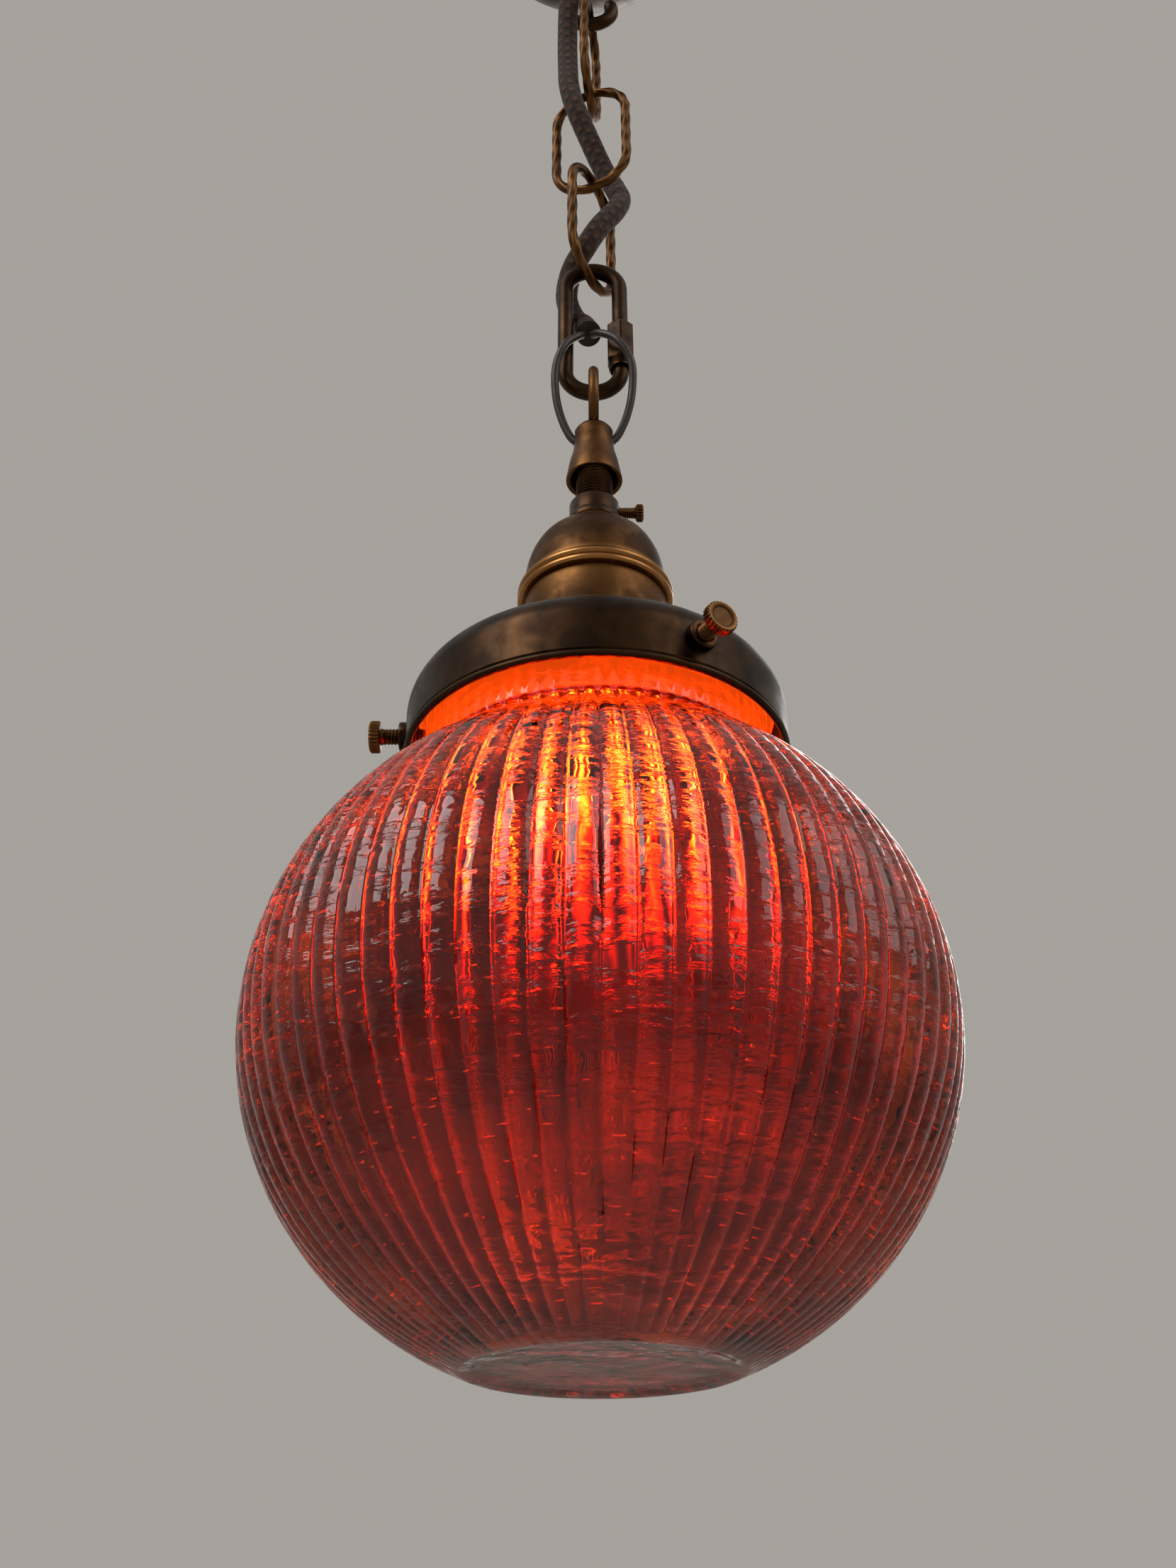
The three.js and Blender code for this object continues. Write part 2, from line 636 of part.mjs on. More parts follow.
// ---------------------------------------------------------------- globe and bulb
function makeGlobe() {
  const inR = globeR - globeWall;
  const inTall = globeTall - globeWall;
  const baseAngle = -slope(globeBaseR, globeR);
  const baseZ = globeTall * Math.sin(radians(baseAngle));
  const outer = arc([0, 0], [globeR, globeTall], baseAngle, slope(globeNeckR, globeR), 14);
  const neckIn = globeNeckR - globeWall;
  const inner = arc([0, 0], [inR, inTall], slope(neckIn, inR), -slope(globeBaseR - 2, inR), 14);
  const lipTop = galleryTop - globeLipBelow;
  const lipLow = Math.max(lipTop - globeLipH, screwZ + screwShankR + gap);
  const profile = [
    [0, baseZ], ...outer, [globeNeckR, lipLow], [globeLipR, lipLow + 0.6], [globeLipR, lipTop - 0.6],
    [globeLipR - 1, lipTop], [neckIn, lipTop], ...inner, [0, baseZ + globeWall],
  ];
  addToLamp('globe', turned(profile, 40), rubyGlass);
}

function makeBulb() {
  const capHigh = contactFace - gap - bulbTipH;
  const capLowZ = capHigh - bulbCapH;
  const glassTop = capLowZ + bulbGlassInCap;
  const bulbZ = capLowZ - bulbLength + bulbR;
  const meet = 52;
  const out = arc([0, bulbZ], bulbR, -90, meet, 9);
  const inn = arc([0, bulbZ], bulbR - bulbWall, meet, -90, 9);
  const shoulder = [bulbNeckR + bulbShoulder[0], capLowZ - bulbShoulder[1]];
  const waist = [bulbNeckR, capLowZ - 3];
  const thin = ([r, z]) => [r - bulbWall, z];
  const glass = [
    ...out, shoulder, waist, [bulbNeckR, glassTop], [bulbNeckR - bulbWall, glassTop],
    thin(waist), thin(shoulder), ...inn,
  ].map(([r, z], i, all) => [i === 0 || i === all.length - 1 ? 0 : r, z]);
  addToLamp('bulb_glass', turned(glass, 30), redLacquer);
  const coneR = bulbTipR + 2;
  const cap = turned([
    [bulbNeckR + gap, capLowZ], [bulbCapR, capLowZ], [bulbCapR, capHigh - bulbCapCone],
    [coneR, capHigh], [0, capHigh], [0, capHigh - bulbCapWall], [coneR - bulbCapWall, capHigh - bulbCapWall],
    [bulbNeckR + gap, capHigh - bulbCapCone - bulbCapWall],
  ], 30);
  addToLamp('bulb_cap', cap, steel);
  const tip = turned([
    [0, capHigh + gap], [bulbTipR, capHigh + gap], [bulbTipR - 1.4, capHigh + bulbTipH - 0.3],
    [0, capHigh + bulbTipH - 0.3],
  ], 20);
  addToLamp('bulb_tip', tip, brightBrass);
}

// ---------------------------------------------------------------- flex
// The route is chosen by hand: in front of the hook, down the left of the first link, through the
// second and third links and into the quick link, where the braid ends and the cores part.
const flexRoute = [
  [0, -20, -15.6], [0, -22, -20.5], [0, -24.9, -26.4], [0, -28.1, -31.4], [0, -31.1, -36.2],
  [-1, -30, -46.5],
  [-3, -22, -60], [-5.5, -13.5, -74], [-7, -8.2, -90], [-7.4, -4, -105], [-7.2, -3.6, -118],
  [-6.8, -4.6, -128], [-4.8, -4, -138], [-0.6, 0, -148], [4, 4, -158], [7.6, 5, -166],
  [8.8, 3, -173], [7, 0.6, -181], [2.2, -0.8, -190], [-1.4, -0.4, -197], [-6, 3.4, -204],
  [-7.6, 6.6, -211.5], [-5.8, 6.4, -220], [-2.6, 4, -227.5], [-1.4, 0.8, -233],
];
const coreRoutes = {
  left: [
    [-2.7, -0.2, -235], [-4, -3.6, -239], [-7.6, -5.4, -244], [-10.2, -4.6, -251],
    [-10.4, -2.6, -260], [-8.8, -0.9, -268],
  ],
  right: [
    [-0.2, -0.8, -235.6], [2, -4.6, -239], [6.6, -6.9, -244], [10.4, -5.7, -251],
    [10.6, -3, -260], [8.9, -1, -268],
  ],
};

const routeCurve = (points) =>
  new THREE.CatmullRomCurve3(points.map((p) => new THREE.Vector3(...p)));

function makeFlex() {
  add('flex_cord', bar(routeCurve(flexRoute), cordR, 52, 8), fabric);
  const down = lamp.position.z;
  const postZ = down + insulatorHigh + gap + terminalSize[2] + gap;
  for (const [name, side] of [['left', -1], ['right', 1]]) {
    const leaning = (along) => [
      side * (coreX + along * Math.sin(wireHoleLean)), 0,
      down + neckTop - wireHoleDown + along * Math.cos(wireHoleLean),
    ];
    const inside = [
      leaning(7), leaning(4.5), leaning(2), [side * coreX, 0, down + neckTop - wireHoleDown - 3],
      [side * coreX, 0, down + bellLow], [side * coreX, 0, down + collarHigh],
      [side * coreX, 0, down + collarLow], [side * coreX, 0, down + capTop - 5],
      [side * (coreX + 1), 0, down + capTop - 8], [side * terminalX * 0.6, 0, postZ + 6],
      [side * terminalX, 0, postZ + 1],
    ];
    const route = [...coreRoutes[name], ...inside];
    add(`core_${name}`, bar(routeCurve(route), coreR, 48, 8), coreSleeve);
  }
}

makeBackplate();
makeBridge();
makeNut();
makeCanopy();
makeGrommet();
makeTerminalBlock();
makeHook();
makeLinks();
makeQuickLink();
makeNeck();
makeStem();
makeCollar();
makeCap();
makeBeads();
makeShell();
makeShadeRings();
makeInsulator();
makeTerminals();
makeGallery();
makeThumbscrews();
makeGlobe();
makeBulb();
makeFlex();

export default object;
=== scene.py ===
"""Red-lit glass globe pendant on a brass chain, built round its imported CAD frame."""

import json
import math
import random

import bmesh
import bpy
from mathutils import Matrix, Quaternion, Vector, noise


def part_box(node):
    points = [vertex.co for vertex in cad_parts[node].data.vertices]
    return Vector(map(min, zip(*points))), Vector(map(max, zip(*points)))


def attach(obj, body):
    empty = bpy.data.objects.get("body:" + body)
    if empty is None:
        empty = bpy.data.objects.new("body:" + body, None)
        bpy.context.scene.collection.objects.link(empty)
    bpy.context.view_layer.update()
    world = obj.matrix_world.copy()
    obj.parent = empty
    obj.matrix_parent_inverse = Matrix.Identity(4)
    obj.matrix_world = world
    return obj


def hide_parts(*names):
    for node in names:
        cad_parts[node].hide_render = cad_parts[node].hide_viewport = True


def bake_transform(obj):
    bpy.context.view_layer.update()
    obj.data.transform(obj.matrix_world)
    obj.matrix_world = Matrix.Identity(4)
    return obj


bl_info = {
    "name": "Globe Pendant Lamp",
    "version": (1, 0, 0),
    "blender": (4, 5, 0),
    "location": "View3D > Sidebar > Pendant",
    "description": "Builds a ribbed glass globe pendant with its brass fittings, chain and braided flex",
    "category": "Object",
}

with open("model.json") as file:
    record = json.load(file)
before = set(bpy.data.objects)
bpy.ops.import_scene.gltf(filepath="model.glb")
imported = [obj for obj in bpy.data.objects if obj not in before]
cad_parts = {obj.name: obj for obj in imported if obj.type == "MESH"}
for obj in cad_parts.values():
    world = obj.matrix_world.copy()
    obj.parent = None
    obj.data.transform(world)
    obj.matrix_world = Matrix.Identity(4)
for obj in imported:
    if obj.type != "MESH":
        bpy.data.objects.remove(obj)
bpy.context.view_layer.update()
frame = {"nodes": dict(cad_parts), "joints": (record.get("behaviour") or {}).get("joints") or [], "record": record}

MM = 0.001
TAU = 2 * math.pi

LINK_AZIMUTHS = (80, -20, 60)           # plane of each chain link about the vertical, degrees
SCREW_AZIMUTHS = (180, -60, 60)         # gallery's thumbscrews, degrees
WIRE_HOLE_LEAN = math.radians(41)       # side holes of the neck, from the vertical
LINK_LENGTH = 48.4 * MM
LINK_WIDTH = 26 * MM
HOOK_ROD = 2.25 * MM                    # wire of the hook and of the quick link
FLEX_RADIUS = 3.25 * MM
CORE_RADIUS = 1.1 * MM
CORE_SPREAD = 0.5 * MM                  # each core's distance from the axis beyond its radius


# ------------------------------------------------------------------ sizes and colours
def size(name, what, default):
    """A length property in metres."""
    return bpy.props.FloatProperty(name=name, description=what, default=default, unit="LENGTH", precision=5)


def count(name, what, default):
    return bpy.props.IntProperty(name=name, description=what, default=default, min=1)


def share(name, what, default):
    return bpy.props.FloatProperty(name=name, description=what, default=default)


def colour(name, what, default):
    """An sRGB colour kept as a hex string."""
    return bpy.props.StringProperty(name=name, description=what, default=default)


class PendantGlobe(bpy.types.PropertyGroup):
    ribs: count("Ribs", "Vertical flutes round the globe", 72)
    rib_depth: size("Rib depth", "From a flute's crown to the groove beside it", 1.25 * MM)
    wall: size("Wall", "Thickness of the glass", 3 * MM)
    base_radius: size("Base radius", "Flat disc under the globe", 28 * MM)
    flatness: share("Flatness", "Height of the globe over its width", 0.96)
    neck_radius: size("Neck radius", "Outside of the neck", 40.6 * MM)
    bare_neck: size("Bare neck", "Plain glass between the ribs and the gallery", 4.6 * MM)
    seeds: count("Seeds", "Air bubbles caught in the glass", 1300)
    seed_size: size("Seed size", "Half length of the largest bubble", 1.5 * MM)
    tint: colour("Glass tint", "Ruby stain of the glass", "#BE4618")


class PendantBrass(bpy.types.PropertyGroup):
    edge: size("Edge round", "Radius on turned edges", 0.35 * MM)
    knurl_teeth: count("Knurl teeth", "Teeth round a thumbscrew's head", 26)
    knurl_depth: size("Knurl depth", "Depth of the knurled teeth", 0.28 * MM)
    fine_thread: size("Fine thread", "Pitch of the M4 and M10 threads", 0.8 * MM)
    lamp_thread: size("Lamp thread", "Pitch of the bulb's cap and the holder's skirt", 3.2 * MM)
    twist: size("Twist", "Length of one turn of a link's twisted wire", 14 * MM)
    aged: colour("Aged brass", "Brown patina over brass", "#3E2815")
    dark: colour("Dark brass", "Near black patina of the gallery and canopy", "#20160F")
    bright: colour("Bright brass", "Rubbed edges and beads", "#76502C")


class PendantFlex(bpy.types.PropertyGroup):
    carriers: count("Carriers", "Yarn bundles running each way round the braid", 8)
    lay: size("Lay", "Length of one turn of a yarn round the flex", 15 * MM)
    relief: size("Relief", "Height of a yarn bundle over the one beneath", 0.22 * MM)
    yarn: colour("Yarn", "Brown cotton braid", "#2E1A10")
    yarn_light: colour("Light yarn", "Paler yarn in the braid", "#5A3822")


class PendantLight(bpy.types.PropertyGroup):
    glow: share("Glow", "Strength of the bulb's light", 110.0)
    glow_colour: colour("Glow colour", "Light of the bulb's filaments", "#FFD080")
    # painted glow: strength of the orange emission painted on the globe's neck
    painted_neck_glow: share("Neck glow", "Light caught in the globe's neck", 0.6)
    filaments: count("Filaments", "Upright filaments in the bulb", 8)
    backdrop: colour("Backdrop", "Pale studio surround", "#D9D3CC")
    floor: colour("Floor", "Pale studio floor", "#CFCAC3")


def settings(group):
    return getattr(bpy.context.scene, "pendant_" + group)


# ------------------------------------------------------------------ colour and nodes
def linear(hex_colour):
    """sRGB hex to the linear RGBA that shaders take."""
    values = [int(hex_colour[i:i + 2], 16) / 255 for i in (1, 3, 5)]
    return [v / 12.92 if v <= 0.04045 else ((v + 0.055) / 1.055) ** 2.4 for v in values] + [1.0]


def add(tree, kind, links=None, **settings_of_node):
    """One node with its settings, and links from (node, output) pairs or plain values to its inputs."""
    node = tree.nodes.new(kind)
    for name, value in settings_of_node.items():
        setattr(node, name, value)
    for socket, source in (links or {}).items():
        if isinstance(source, tuple) and isinstance(source[0], bpy.types.Node):
            feed(tree, source, node, socket)
        else:
            node.inputs[socket].default_value = source
    return node


def feed(tree, source, node, socket):
    """A link from a (node, output) pair to an input."""
    tree.links.new(source[0].outputs[source[1]], node.inputs[socket])


def maths(tree, operation, *values):
    """An arithmetic node on (node, output) pairs or plain numbers."""
    return add(tree, "ShaderNodeMath", dict(enumerate(values)), operation=operation)


def new_material(name, **shader):
    """A material with one Principled shader whose constants sit on its own sockets."""
    material = bpy.data.materials.new(name)
    material.use_nodes = True
    tree = material.node_tree
    tree.nodes.clear()
    output = add(tree, "ShaderNodeOutputMaterial")
    surface = add(tree, "ShaderNodeBsdfPrincipled", {k.replace("_", " "): v for k, v in shader.items()})
    feed(tree, (surface, "BSDF"), output, "Surface")
    return material, tree, surface


def blotches(tree, low, high, scale, detail=4.0, at=(0.35, 0.65), distortion=0.0):
    """A two-colour mix driven by noise of the given cell size in metres."""
    where = add(tree, "ShaderNodeTexCoord")
    grain = add(tree, "ShaderNodeTexNoise", {
        "Vector": (where, "Object"), "Scale": 1 / scale, "Detail": detail, "Distortion": distortion})
    spread = add(tree, "ShaderNodeMapRange", {
        "Value": (grain, "Fac"), "From Min": at[0], "From Max": at[1]})
    mix = add(tree, "ShaderNodeMix", {"Factor": (spread, "Result")}, data_type="RGBA")
    mix.inputs[6].default_value = low
    mix.inputs[7].default_value = high
    return mix, spread


def roughen(tree, surface, source, output, low, high):
    """Roughness from a 0 to 1 value."""
    span = add(tree, "ShaderNodeMapRange", {"Value": (source, output), "To Min": low, "To Max": high})
    feed(tree, (span, "Result"), surface, "Roughness")


def grain_bump(tree, surface, scale, height, strength=0.6, stretch=(1, 1, 1)):
    """A fine bump of the given cell size and height, both in metres."""
    where = add(tree, "ShaderNodeTexCoord")
    squeeze = add(tree, "ShaderNodeMapping", {"Vector": (where, "Object"), "Scale": stretch})
    grain = add(tree, "ShaderNodeTexNoise", {
        "Vector": (squeeze, "Vector"), "Scale": 1 / scale, "Detail": 3.0})
    bump = add(tree, "ShaderNodeBump", {"Height": (grain, "Fac"), "Strength": strength, "Distance": height})
    feed(tree, (bump, "Normal"), surface, "Normal")


def aged_metal(name, body, worn, rough=(0.28, 0.5)):
    """Brass with chemical patina: dark in the hollows, rubbed back to metal on the edges."""
    material, tree, surface = new_material(name, Metallic=1.0)
    patina, spread = blotches(tree, body, worn, 9 * MM, 6.0, (0.42, 0.78), 0.4)
    form = add(tree, "ShaderNodeNewGeometry")
    edge = add(tree, "ShaderNodeMapRange", {
        "Value": (form, "Pointiness"), "From Min": 0.505, "From Max": 0.56})
    rub = add(tree, "ShaderNodeMix", {"Factor": (edge, "Result")}, data_type="RGBA")
    feed(tree, (patina, 2), rub, 6)
    rub.inputs[7].default_value = worn
    feed(tree, (rub, 2), surface, "Base Color")
    roughen(tree, surface, spread, "Result", rough[1], rough[0])
    grain_bump(tree, surface, 0.7 * MM, 0.03 * MM, 0.5)
    return material


MATERIALS = {}


def material(name):
    """Each material is made once, by the function of its name."""
    if name not in MATERIALS:
        MATERIALS[name] = MAKERS[name]()
    return MATERIALS[name]


def aged_brass():
    """Turned brass, chemically browned: warm brown metal with rubbed, brighter edges."""
    tones = settings("brass")
    return aged_metal("aged_brass_turned", linear(tones.aged), linear(tones.bright))


def dark_brass():
    """Spun brass with a near black patina: the eye sees dark metal with brown, glossy turns."""
    tones = settings("brass")
    return aged_metal("dark_brass_spun", linear(tones.dark), linear("#4A321E"), (0.26, 0.42))


def bright_brass():
    """Brass rubbed bright by handling, as on rolled beads and contacts."""
    return aged_metal("rubbed_brass_rolled", linear("#86592F"), linear("#BC8850"), (0.2, 0.34))


def zinc_steel():
    """Zinc-plated pressed steel: pale grey metal with a faint crystal bloom."""
    return aged_metal("zinc_steel_pressed", linear("#8E9092"), linear("#B4B6B8"), (0.3, 0.45))


def bulb_steel():
    """Rolled nickel-plated steel cap: smooth and bright in the thread's turns."""
    return aged_metal("nickel_steel_rolled", linear("#A9A6A0"), linear("#D6D2CA"), (0.16, 0.3))


def braided_cotton():
    """Cotton braided over rubber flex: two browns crossing in a diamond weave, soft and dull."""
    tones = settings("flex")
    material_of, tree, surface = new_material(
        "cotton_braided", Roughness=0.9, Sheen_Weight=0.1, Sheen_Roughness=0.6, IOR=1.46)
    where = add(tree, "ShaderNodeUVMap")
    split = add(tree, "ShaderNodeSeparateXYZ", {"Vector": (where, "UV")})
    turns = maths(tree, "MULTIPLY", (split, "X"), float(tones.carriers))
    run = maths(tree, "MULTIPLY", (split, "Y"), tones.carriers / tones.lay)
    way = maths(tree, "SUBTRACT", (turns, 0), (run, 0))
    back = maths(tree, "ADD", (turns, 0), (run, 0))
    one = maths(tree, "PINGPONG", (way, 0), 1.0)
    other = maths(tree, "PINGPONG", (back, 0), 1.0)
    # the yarns of both ways cross, and each crossing shows as a paler diamond
    bundle = maths(tree, "MULTIPLY", (one, 0), (other, 0))
    speckle, _ = blotches(tree, linear(tones.yarn), linear("#24140C"), 2.5 * MM, 3.0)
    stripe = add(tree, "ShaderNodeMapRange", {"Value": (bundle, 0), "From Min": 0.3, "From Max": 0.75})
    mix = add(tree, "ShaderNodeMix", {"Factor": (stripe, "Result")}, data_type="RGBA")
    feed(tree, (speckle, 2), mix, 6)
    mix.inputs[7].default_value = linear(tones.yarn_light)
    feed(tree, (mix, 2), surface, "Base Color")
    weave = maths(tree, "MAXIMUM", (one, 0), (other, 0))
    bump = add(tree, "ShaderNodeBump", {"Height": (weave, 0), "Strength": 0.8, "Distance": 0.25 * MM})
    feed(tree, (bump, "Normal"), surface, "Normal")
    return material_of


def core_insulation():
    """Extruded PVC on each core: smooth brown plastic with a slight sag in its gloss."""
    material_of, tree, surface = new_material("pvc_extruded", Roughness=0.42, IOR=1.53)
    tone, spread = blotches(tree, linear("#2E180C"), linear("#201008"), 4 * MM)
    feed(tree, (tone, 2), surface, "Base Color")
    roughen(tree, surface, spread, "Result", 0.36, 0.5)
    grain_bump(tree, surface, 1.2 * MM, 0.02 * MM, 0.4)
    return material_of


def moulded(name, body, shade, rough, ior):
    material_of, tree, surface = new_material(name, IOR=ior)
    tone, spread = blotches(tree, linear(body), linear(shade), 6 * MM)
    feed(tree, (tone, 2), surface, "Base Color")
    roughen(tree, surface, spread, "Result", rough - 0.06, rough + 0.08)
    grain_bump(tree, surface, 0.5 * MM, 0.02 * MM, 0.4)
    return material_of


def black_rubber():
    """Moulded rubber: dull black with a dusty bloom."""
    return moulded("rubber_moulded", "#1A1816", "#2A2725", 0.7, 1.52)


def white_plastic():
    """Moulded polyamide: off white, satin."""
    return moulded("polyamide_moulded", "#E4E0D6", "#D6D0C4", 0.45, 1.53)


def white_ceramic():
    """Glazed porcelain: warm white under a glossy glaze."""
    return moulded("porcelain_glazed", "#ECE6DA", "#DDD5C6", 0.18, 1.5)


def globe_shape():
    """Radius, half height, middle height, neck radius and neck height of the globe's outside."""
    look = settings("globe")
    low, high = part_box("globe")
    radius = max(high.x, high.y)
    tall = radius * look.flatness
    middle = low.z + tall * math.sqrt(1 - (look.base_radius / radius) ** 2)
    neck_r = look.neck_radius
    return radius, tall, middle, neck_r, middle + tall * math.sqrt(1 - (neck_r / radius) ** 2)


def seedy_glass():
    """Mould-blown ruby glass: clear but stained, with wavering walls, cords along the ribs and a painted orange
    glow on its neck.
    """
    look = settings("globe")
    material_of, tree, surface = new_material(
        "soda_glass_mould_blown", Transmission_Weight=1.0, Roughness=0.015, IOR=1.5,
        Specular_IOR_Level=0.2)
    tone, _ = blotches(tree, linear(look.tint), linear("#7C2008"), 22 * MM, 3.0)
    feed(tree, (tone, 2), surface, "Base Color")
    where = add(tree, "ShaderNodeTexCoord")
    waver = add(tree, "ShaderNodeTexNoise", {
        "Vector": (where, "Object"), "Scale": 1 / (11 * MM), "Detail": 2.0, "Distortion": 0.6})
    # chill marks from the mould run across the ribs, about 3 mm apart
    lie = add(tree, "ShaderNodeMapping", {"Vector": (where, "Object"), "Scale": (100.0, 100.0, 360.0)})
    chill = add(tree, "ShaderNodeTexNoise", {"Vector": (lie, "Vector"), "Scale": 1.0, "Detail": 5.0})
    marks = add(tree, "ShaderNodeMapRange", {"Value": (chill, "Fac"), "From Min": 0.5, "From Max": 0.62})
    swell = add(tree, "ShaderNodeBump", {"Height": (waver, "Fac"), "Strength": 0.7, "Distance": 0.9 * MM})
    bump = add(tree, "ShaderNodeBump", {
        "Height": (marks, "Result"), "Normal": (swell, "Normal"), "Strength": 0.6, "Distance": 0.22 * MM})
    feed(tree, (bump, "Normal"), surface, "Normal")
    # painted glow: the neck's glass above the ribs is given an orange emission, standing in for the bulb's light
    # scattered in its thick, unpolished glass
    bare_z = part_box("gallery")[0].z - look.bare_neck
    split = add(tree, "ShaderNodeSeparateXYZ", {"Vector": (where, "Object")})
    band = add(tree, "ShaderNodeMapRange", {
        "Value": (split, "Z"), "From Min": bare_z - 0.3 * MM, "From Max": bare_z + 0.3 * MM,
        "To Max": settings("light").painted_neck_glow})
    feed(tree, (band, "Result"), surface, "Emission Strength")
    surface.inputs["Emission Color"].default_value = linear("#E04E0C")
    return material_of


def air_seed():
    """An air bubble in glass: the light bends the other way, so it shows as a bright dash, and a faint painted
    orange glint adds to it.
    """
    material_of, tree, surface = new_material(
        "air_bubble_painted_glint", Transmission_Weight=1.0, Roughness=0.0, IOR=0.667)
    tone, _ = blotches(tree, linear("#FFFFFF"), linear("#FFE8E0"), 8 * MM)
    feed(tree, (tone, 2), surface, "Base Color")
    # painted glint: a faint orange emission makes each bubble shine as if it caught the bulb's light
    surface.inputs["Emission Color"].default_value = linear("#FF4A20")
    surface.inputs["Emission Strength"].default_value = 0.32
    return material_of


def lit_bulb():
    """Ruby lacquered bulb that is lit: its filaments burn through the lacquer as yellow-hot streaks."""
    look = settings("light")
    low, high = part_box("bulb_glass")
    material_of, tree, surface = new_material("bulb_glass_ruby_lacquer", Roughness=0.12, IOR=1.5,
                                              Coat_Weight=0.6, Coat_Roughness=0.05)
    tone, _ = blotches(tree, linear("#C01408"), linear("#8E0C06"), 12 * MM)
    feed(tree, (tone, 2), surface, "Base Color")
    where = add(tree, "ShaderNodeTexCoord")
    split = add(tree, "ShaderNodeSeparateXYZ", {"Vector": (where, "Object")})
    rise = add(tree, "ShaderNodeMapRange", {
        "Value": (split, "Z"), "From Min": low.z + 4 * MM, "From Max": high.z - 22 * MM},
        interpolation_type="SMOOTHSTEP")
    # upright filaments, wavering a little, show as narrow bands round the bulb
    turn = maths(tree, "ARCTAN2", (split, "Y"), (split, "X"))
    waver = add(tree, "ShaderNodeTexNoise", {
        "Vector": (where, "Object"), "Scale": 1 / (14 * MM), "Detail": 2.0})
    bent = maths(tree, "MULTIPLY_ADD", (waver, "Fac"), 1.1, (turn, 0))
    round_it = maths(tree, "MULTIPLY", (bent, 0), look.filaments / 2.0)
    wave = maths(tree, "SINE", (round_it, 0))
    line = maths(tree, "ABSOLUTE", (wave, 0))
    sharp = maths(tree, "POWER", (line, 0), 3.0)
    heat = maths(tree, "MULTIPLY", (sharp, 0), (rise, "Result"))
    warm = add(tree, "ShaderNodeValToRGB", {"Fac": (heat, 0)})
    ramp = warm.color_ramp
    ramp.elements[0].color = linear("#D20A12")
    ramp.elements[1].color = linear(look.glow_colour)
    ramp.elements.new(0.35).color = linear("#FF8438")
    feed(tree, (warm, "Color"), surface, "Emission Color")
    power = add(tree, "ShaderNodeMapRange", {
        "Value": (heat, 0), "To Min": look.glow * 0.004, "To Max": look.glow})
    feed(tree, (power, "Result"), surface, "Emission Strength")
    grain_bump(tree, surface, 4 * MM, 0.08 * MM, 0.4)
    return material_of


def studio_paint(name, tone):
    material_of, tree, surface = new_material(name, Roughness=0.9)
    mix, _ = blotches(tree, linear(tone), [v * 0.97 for v in linear(tone)[:3]] + [1.0], 0.6)
    feed(tree, (mix, 2), surface, "Base Color")
    return material_of


MAKERS = {
    "aged_brass": aged_brass, "dark_brass": dark_brass, "bright_brass": bright_brass,
    "zinc_steel": zinc_steel, "bulb_steel": bulb_steel, "brown_braid": braided_cotton,
    "core_sleeve": core_insulation, "black_rubber": black_rubber, "white_plastic": white_plastic,
    "white_ceramic": white_ceramic, "ribbed_glass": seedy_glass, "ruby_bulb_glass": lit_bulb,
    "seed": air_seed,
}


# ------------------------------------------------------------------ shaping
def piece(name, vertices, faces, finish, uvs=None, sharp=40):
    """A mesh object from vertices and faces, smooth but for edges sharper than the given degrees."""
    mesh = bpy.data.meshes.new(name)
    mesh.from_pydata([tuple(v) for v in vertices], [], faces)
    if uvs:
        layer = mesh.uv_layers.new(name="UVMap")
        for loop, uv in zip(layer.data, uvs):
            loop.uv = uv
    work = bmesh.new()
    work.from_mesh(mesh)
    bmesh.ops.remove_doubles(work, verts=work.verts, dist=1e-7)
    bmesh.ops.recalc_face_normals(work, faces=work.faces)
    work.to_mesh(mesh)
    work.free()
    mesh.shade_smooth()
    mesh.set_sharp_from_angle(angle=math.radians(sharp))
    obj = bpy.data.objects.new(name, mesh)
    bpy.context.scene.collection.objects.link(obj)
    mesh.materials.append(material(finish))
    return obj


def rounded(profile, radius, steps=3):
    """A closed profile with each corner turned to a small arc."""
    points = []
    total = len(profile)
    for i in range(total):
        here = Vector(profile[i])
        before, after = Vector(profile[i - 1]) - here, Vector(profile[(i + 1) % total]) - here
        if here.x < 1e-9 or before.length < 1e-9 or after.length < 1e-9 or before.angle(after) > 2.6:
            points.append(tuple(here))
            continue
        cut = min(radius, before.length * 0.45, after.length * 0.45)
        a, b = here + before.normalized() * cut, here + after.normalized() * cut
        for k in range(steps + 1):
            t = k / steps
            points.append(tuple((1 - t) ** 2 * a + 2 * t * (1 - t) * here + t * t * b))
    return points


def turned(name, profile, finish, sides=128, shape=None, sharp=40):
    """A shape turned about +Z from a closed profile of (radius, height).

    shape(angle, r, z) gives the radius in place of r.
    """
    vertices, faces = [], []
    total = len(profile)
    for k in range(sides):
        angle = TAU * k / sides
        for r, z in profile:
            radius = shape(angle, r, z) if shape and r > 1e-6 else r
            vertices.append((radius * math.cos(angle), radius * math.sin(angle), z))
    for k in range(sides):
        for i in range(total):
            j = (i + 1) % total
            if profile[i][0] < 1e-9 and profile[j][0] < 1e-9:
                continue
            n = (k + 1) % sides
            ring = [k * total + i, n * total + i, n * total + j, k * total + j]
            if profile[i][0] < 1e-9:
                ring = [ring[0], ring[2], ring[3]]
            elif profile[j][0] < 1e-9:
                ring = [ring[0], ring[1], ring[2]]
            faces.append(ring)
    return piece(name, vertices, faces, finish, sharp=sharp)


def arc(centre, radius, start, end, steps):
    """Points of an arc in a profile, angles in degrees; radius may be (across, up)."""
    across, up = radius if isinstance(radius, tuple) else (radius, radius)
    turn = [math.radians(start + (end - start) * i / steps) for i in range(steps + 1)]
    return [(centre[0] + across * math.cos(a), centre[1] + up * math.sin(a)) for a in turn]


def upright(low, high, r, step):
    """Close-set points of a straight wall, for threads and knurls."""
    steps = max(1, round(abs(high - low) / step))
    return [(r, low + (high - low) * i / steps) for i in range(steps + 1)]


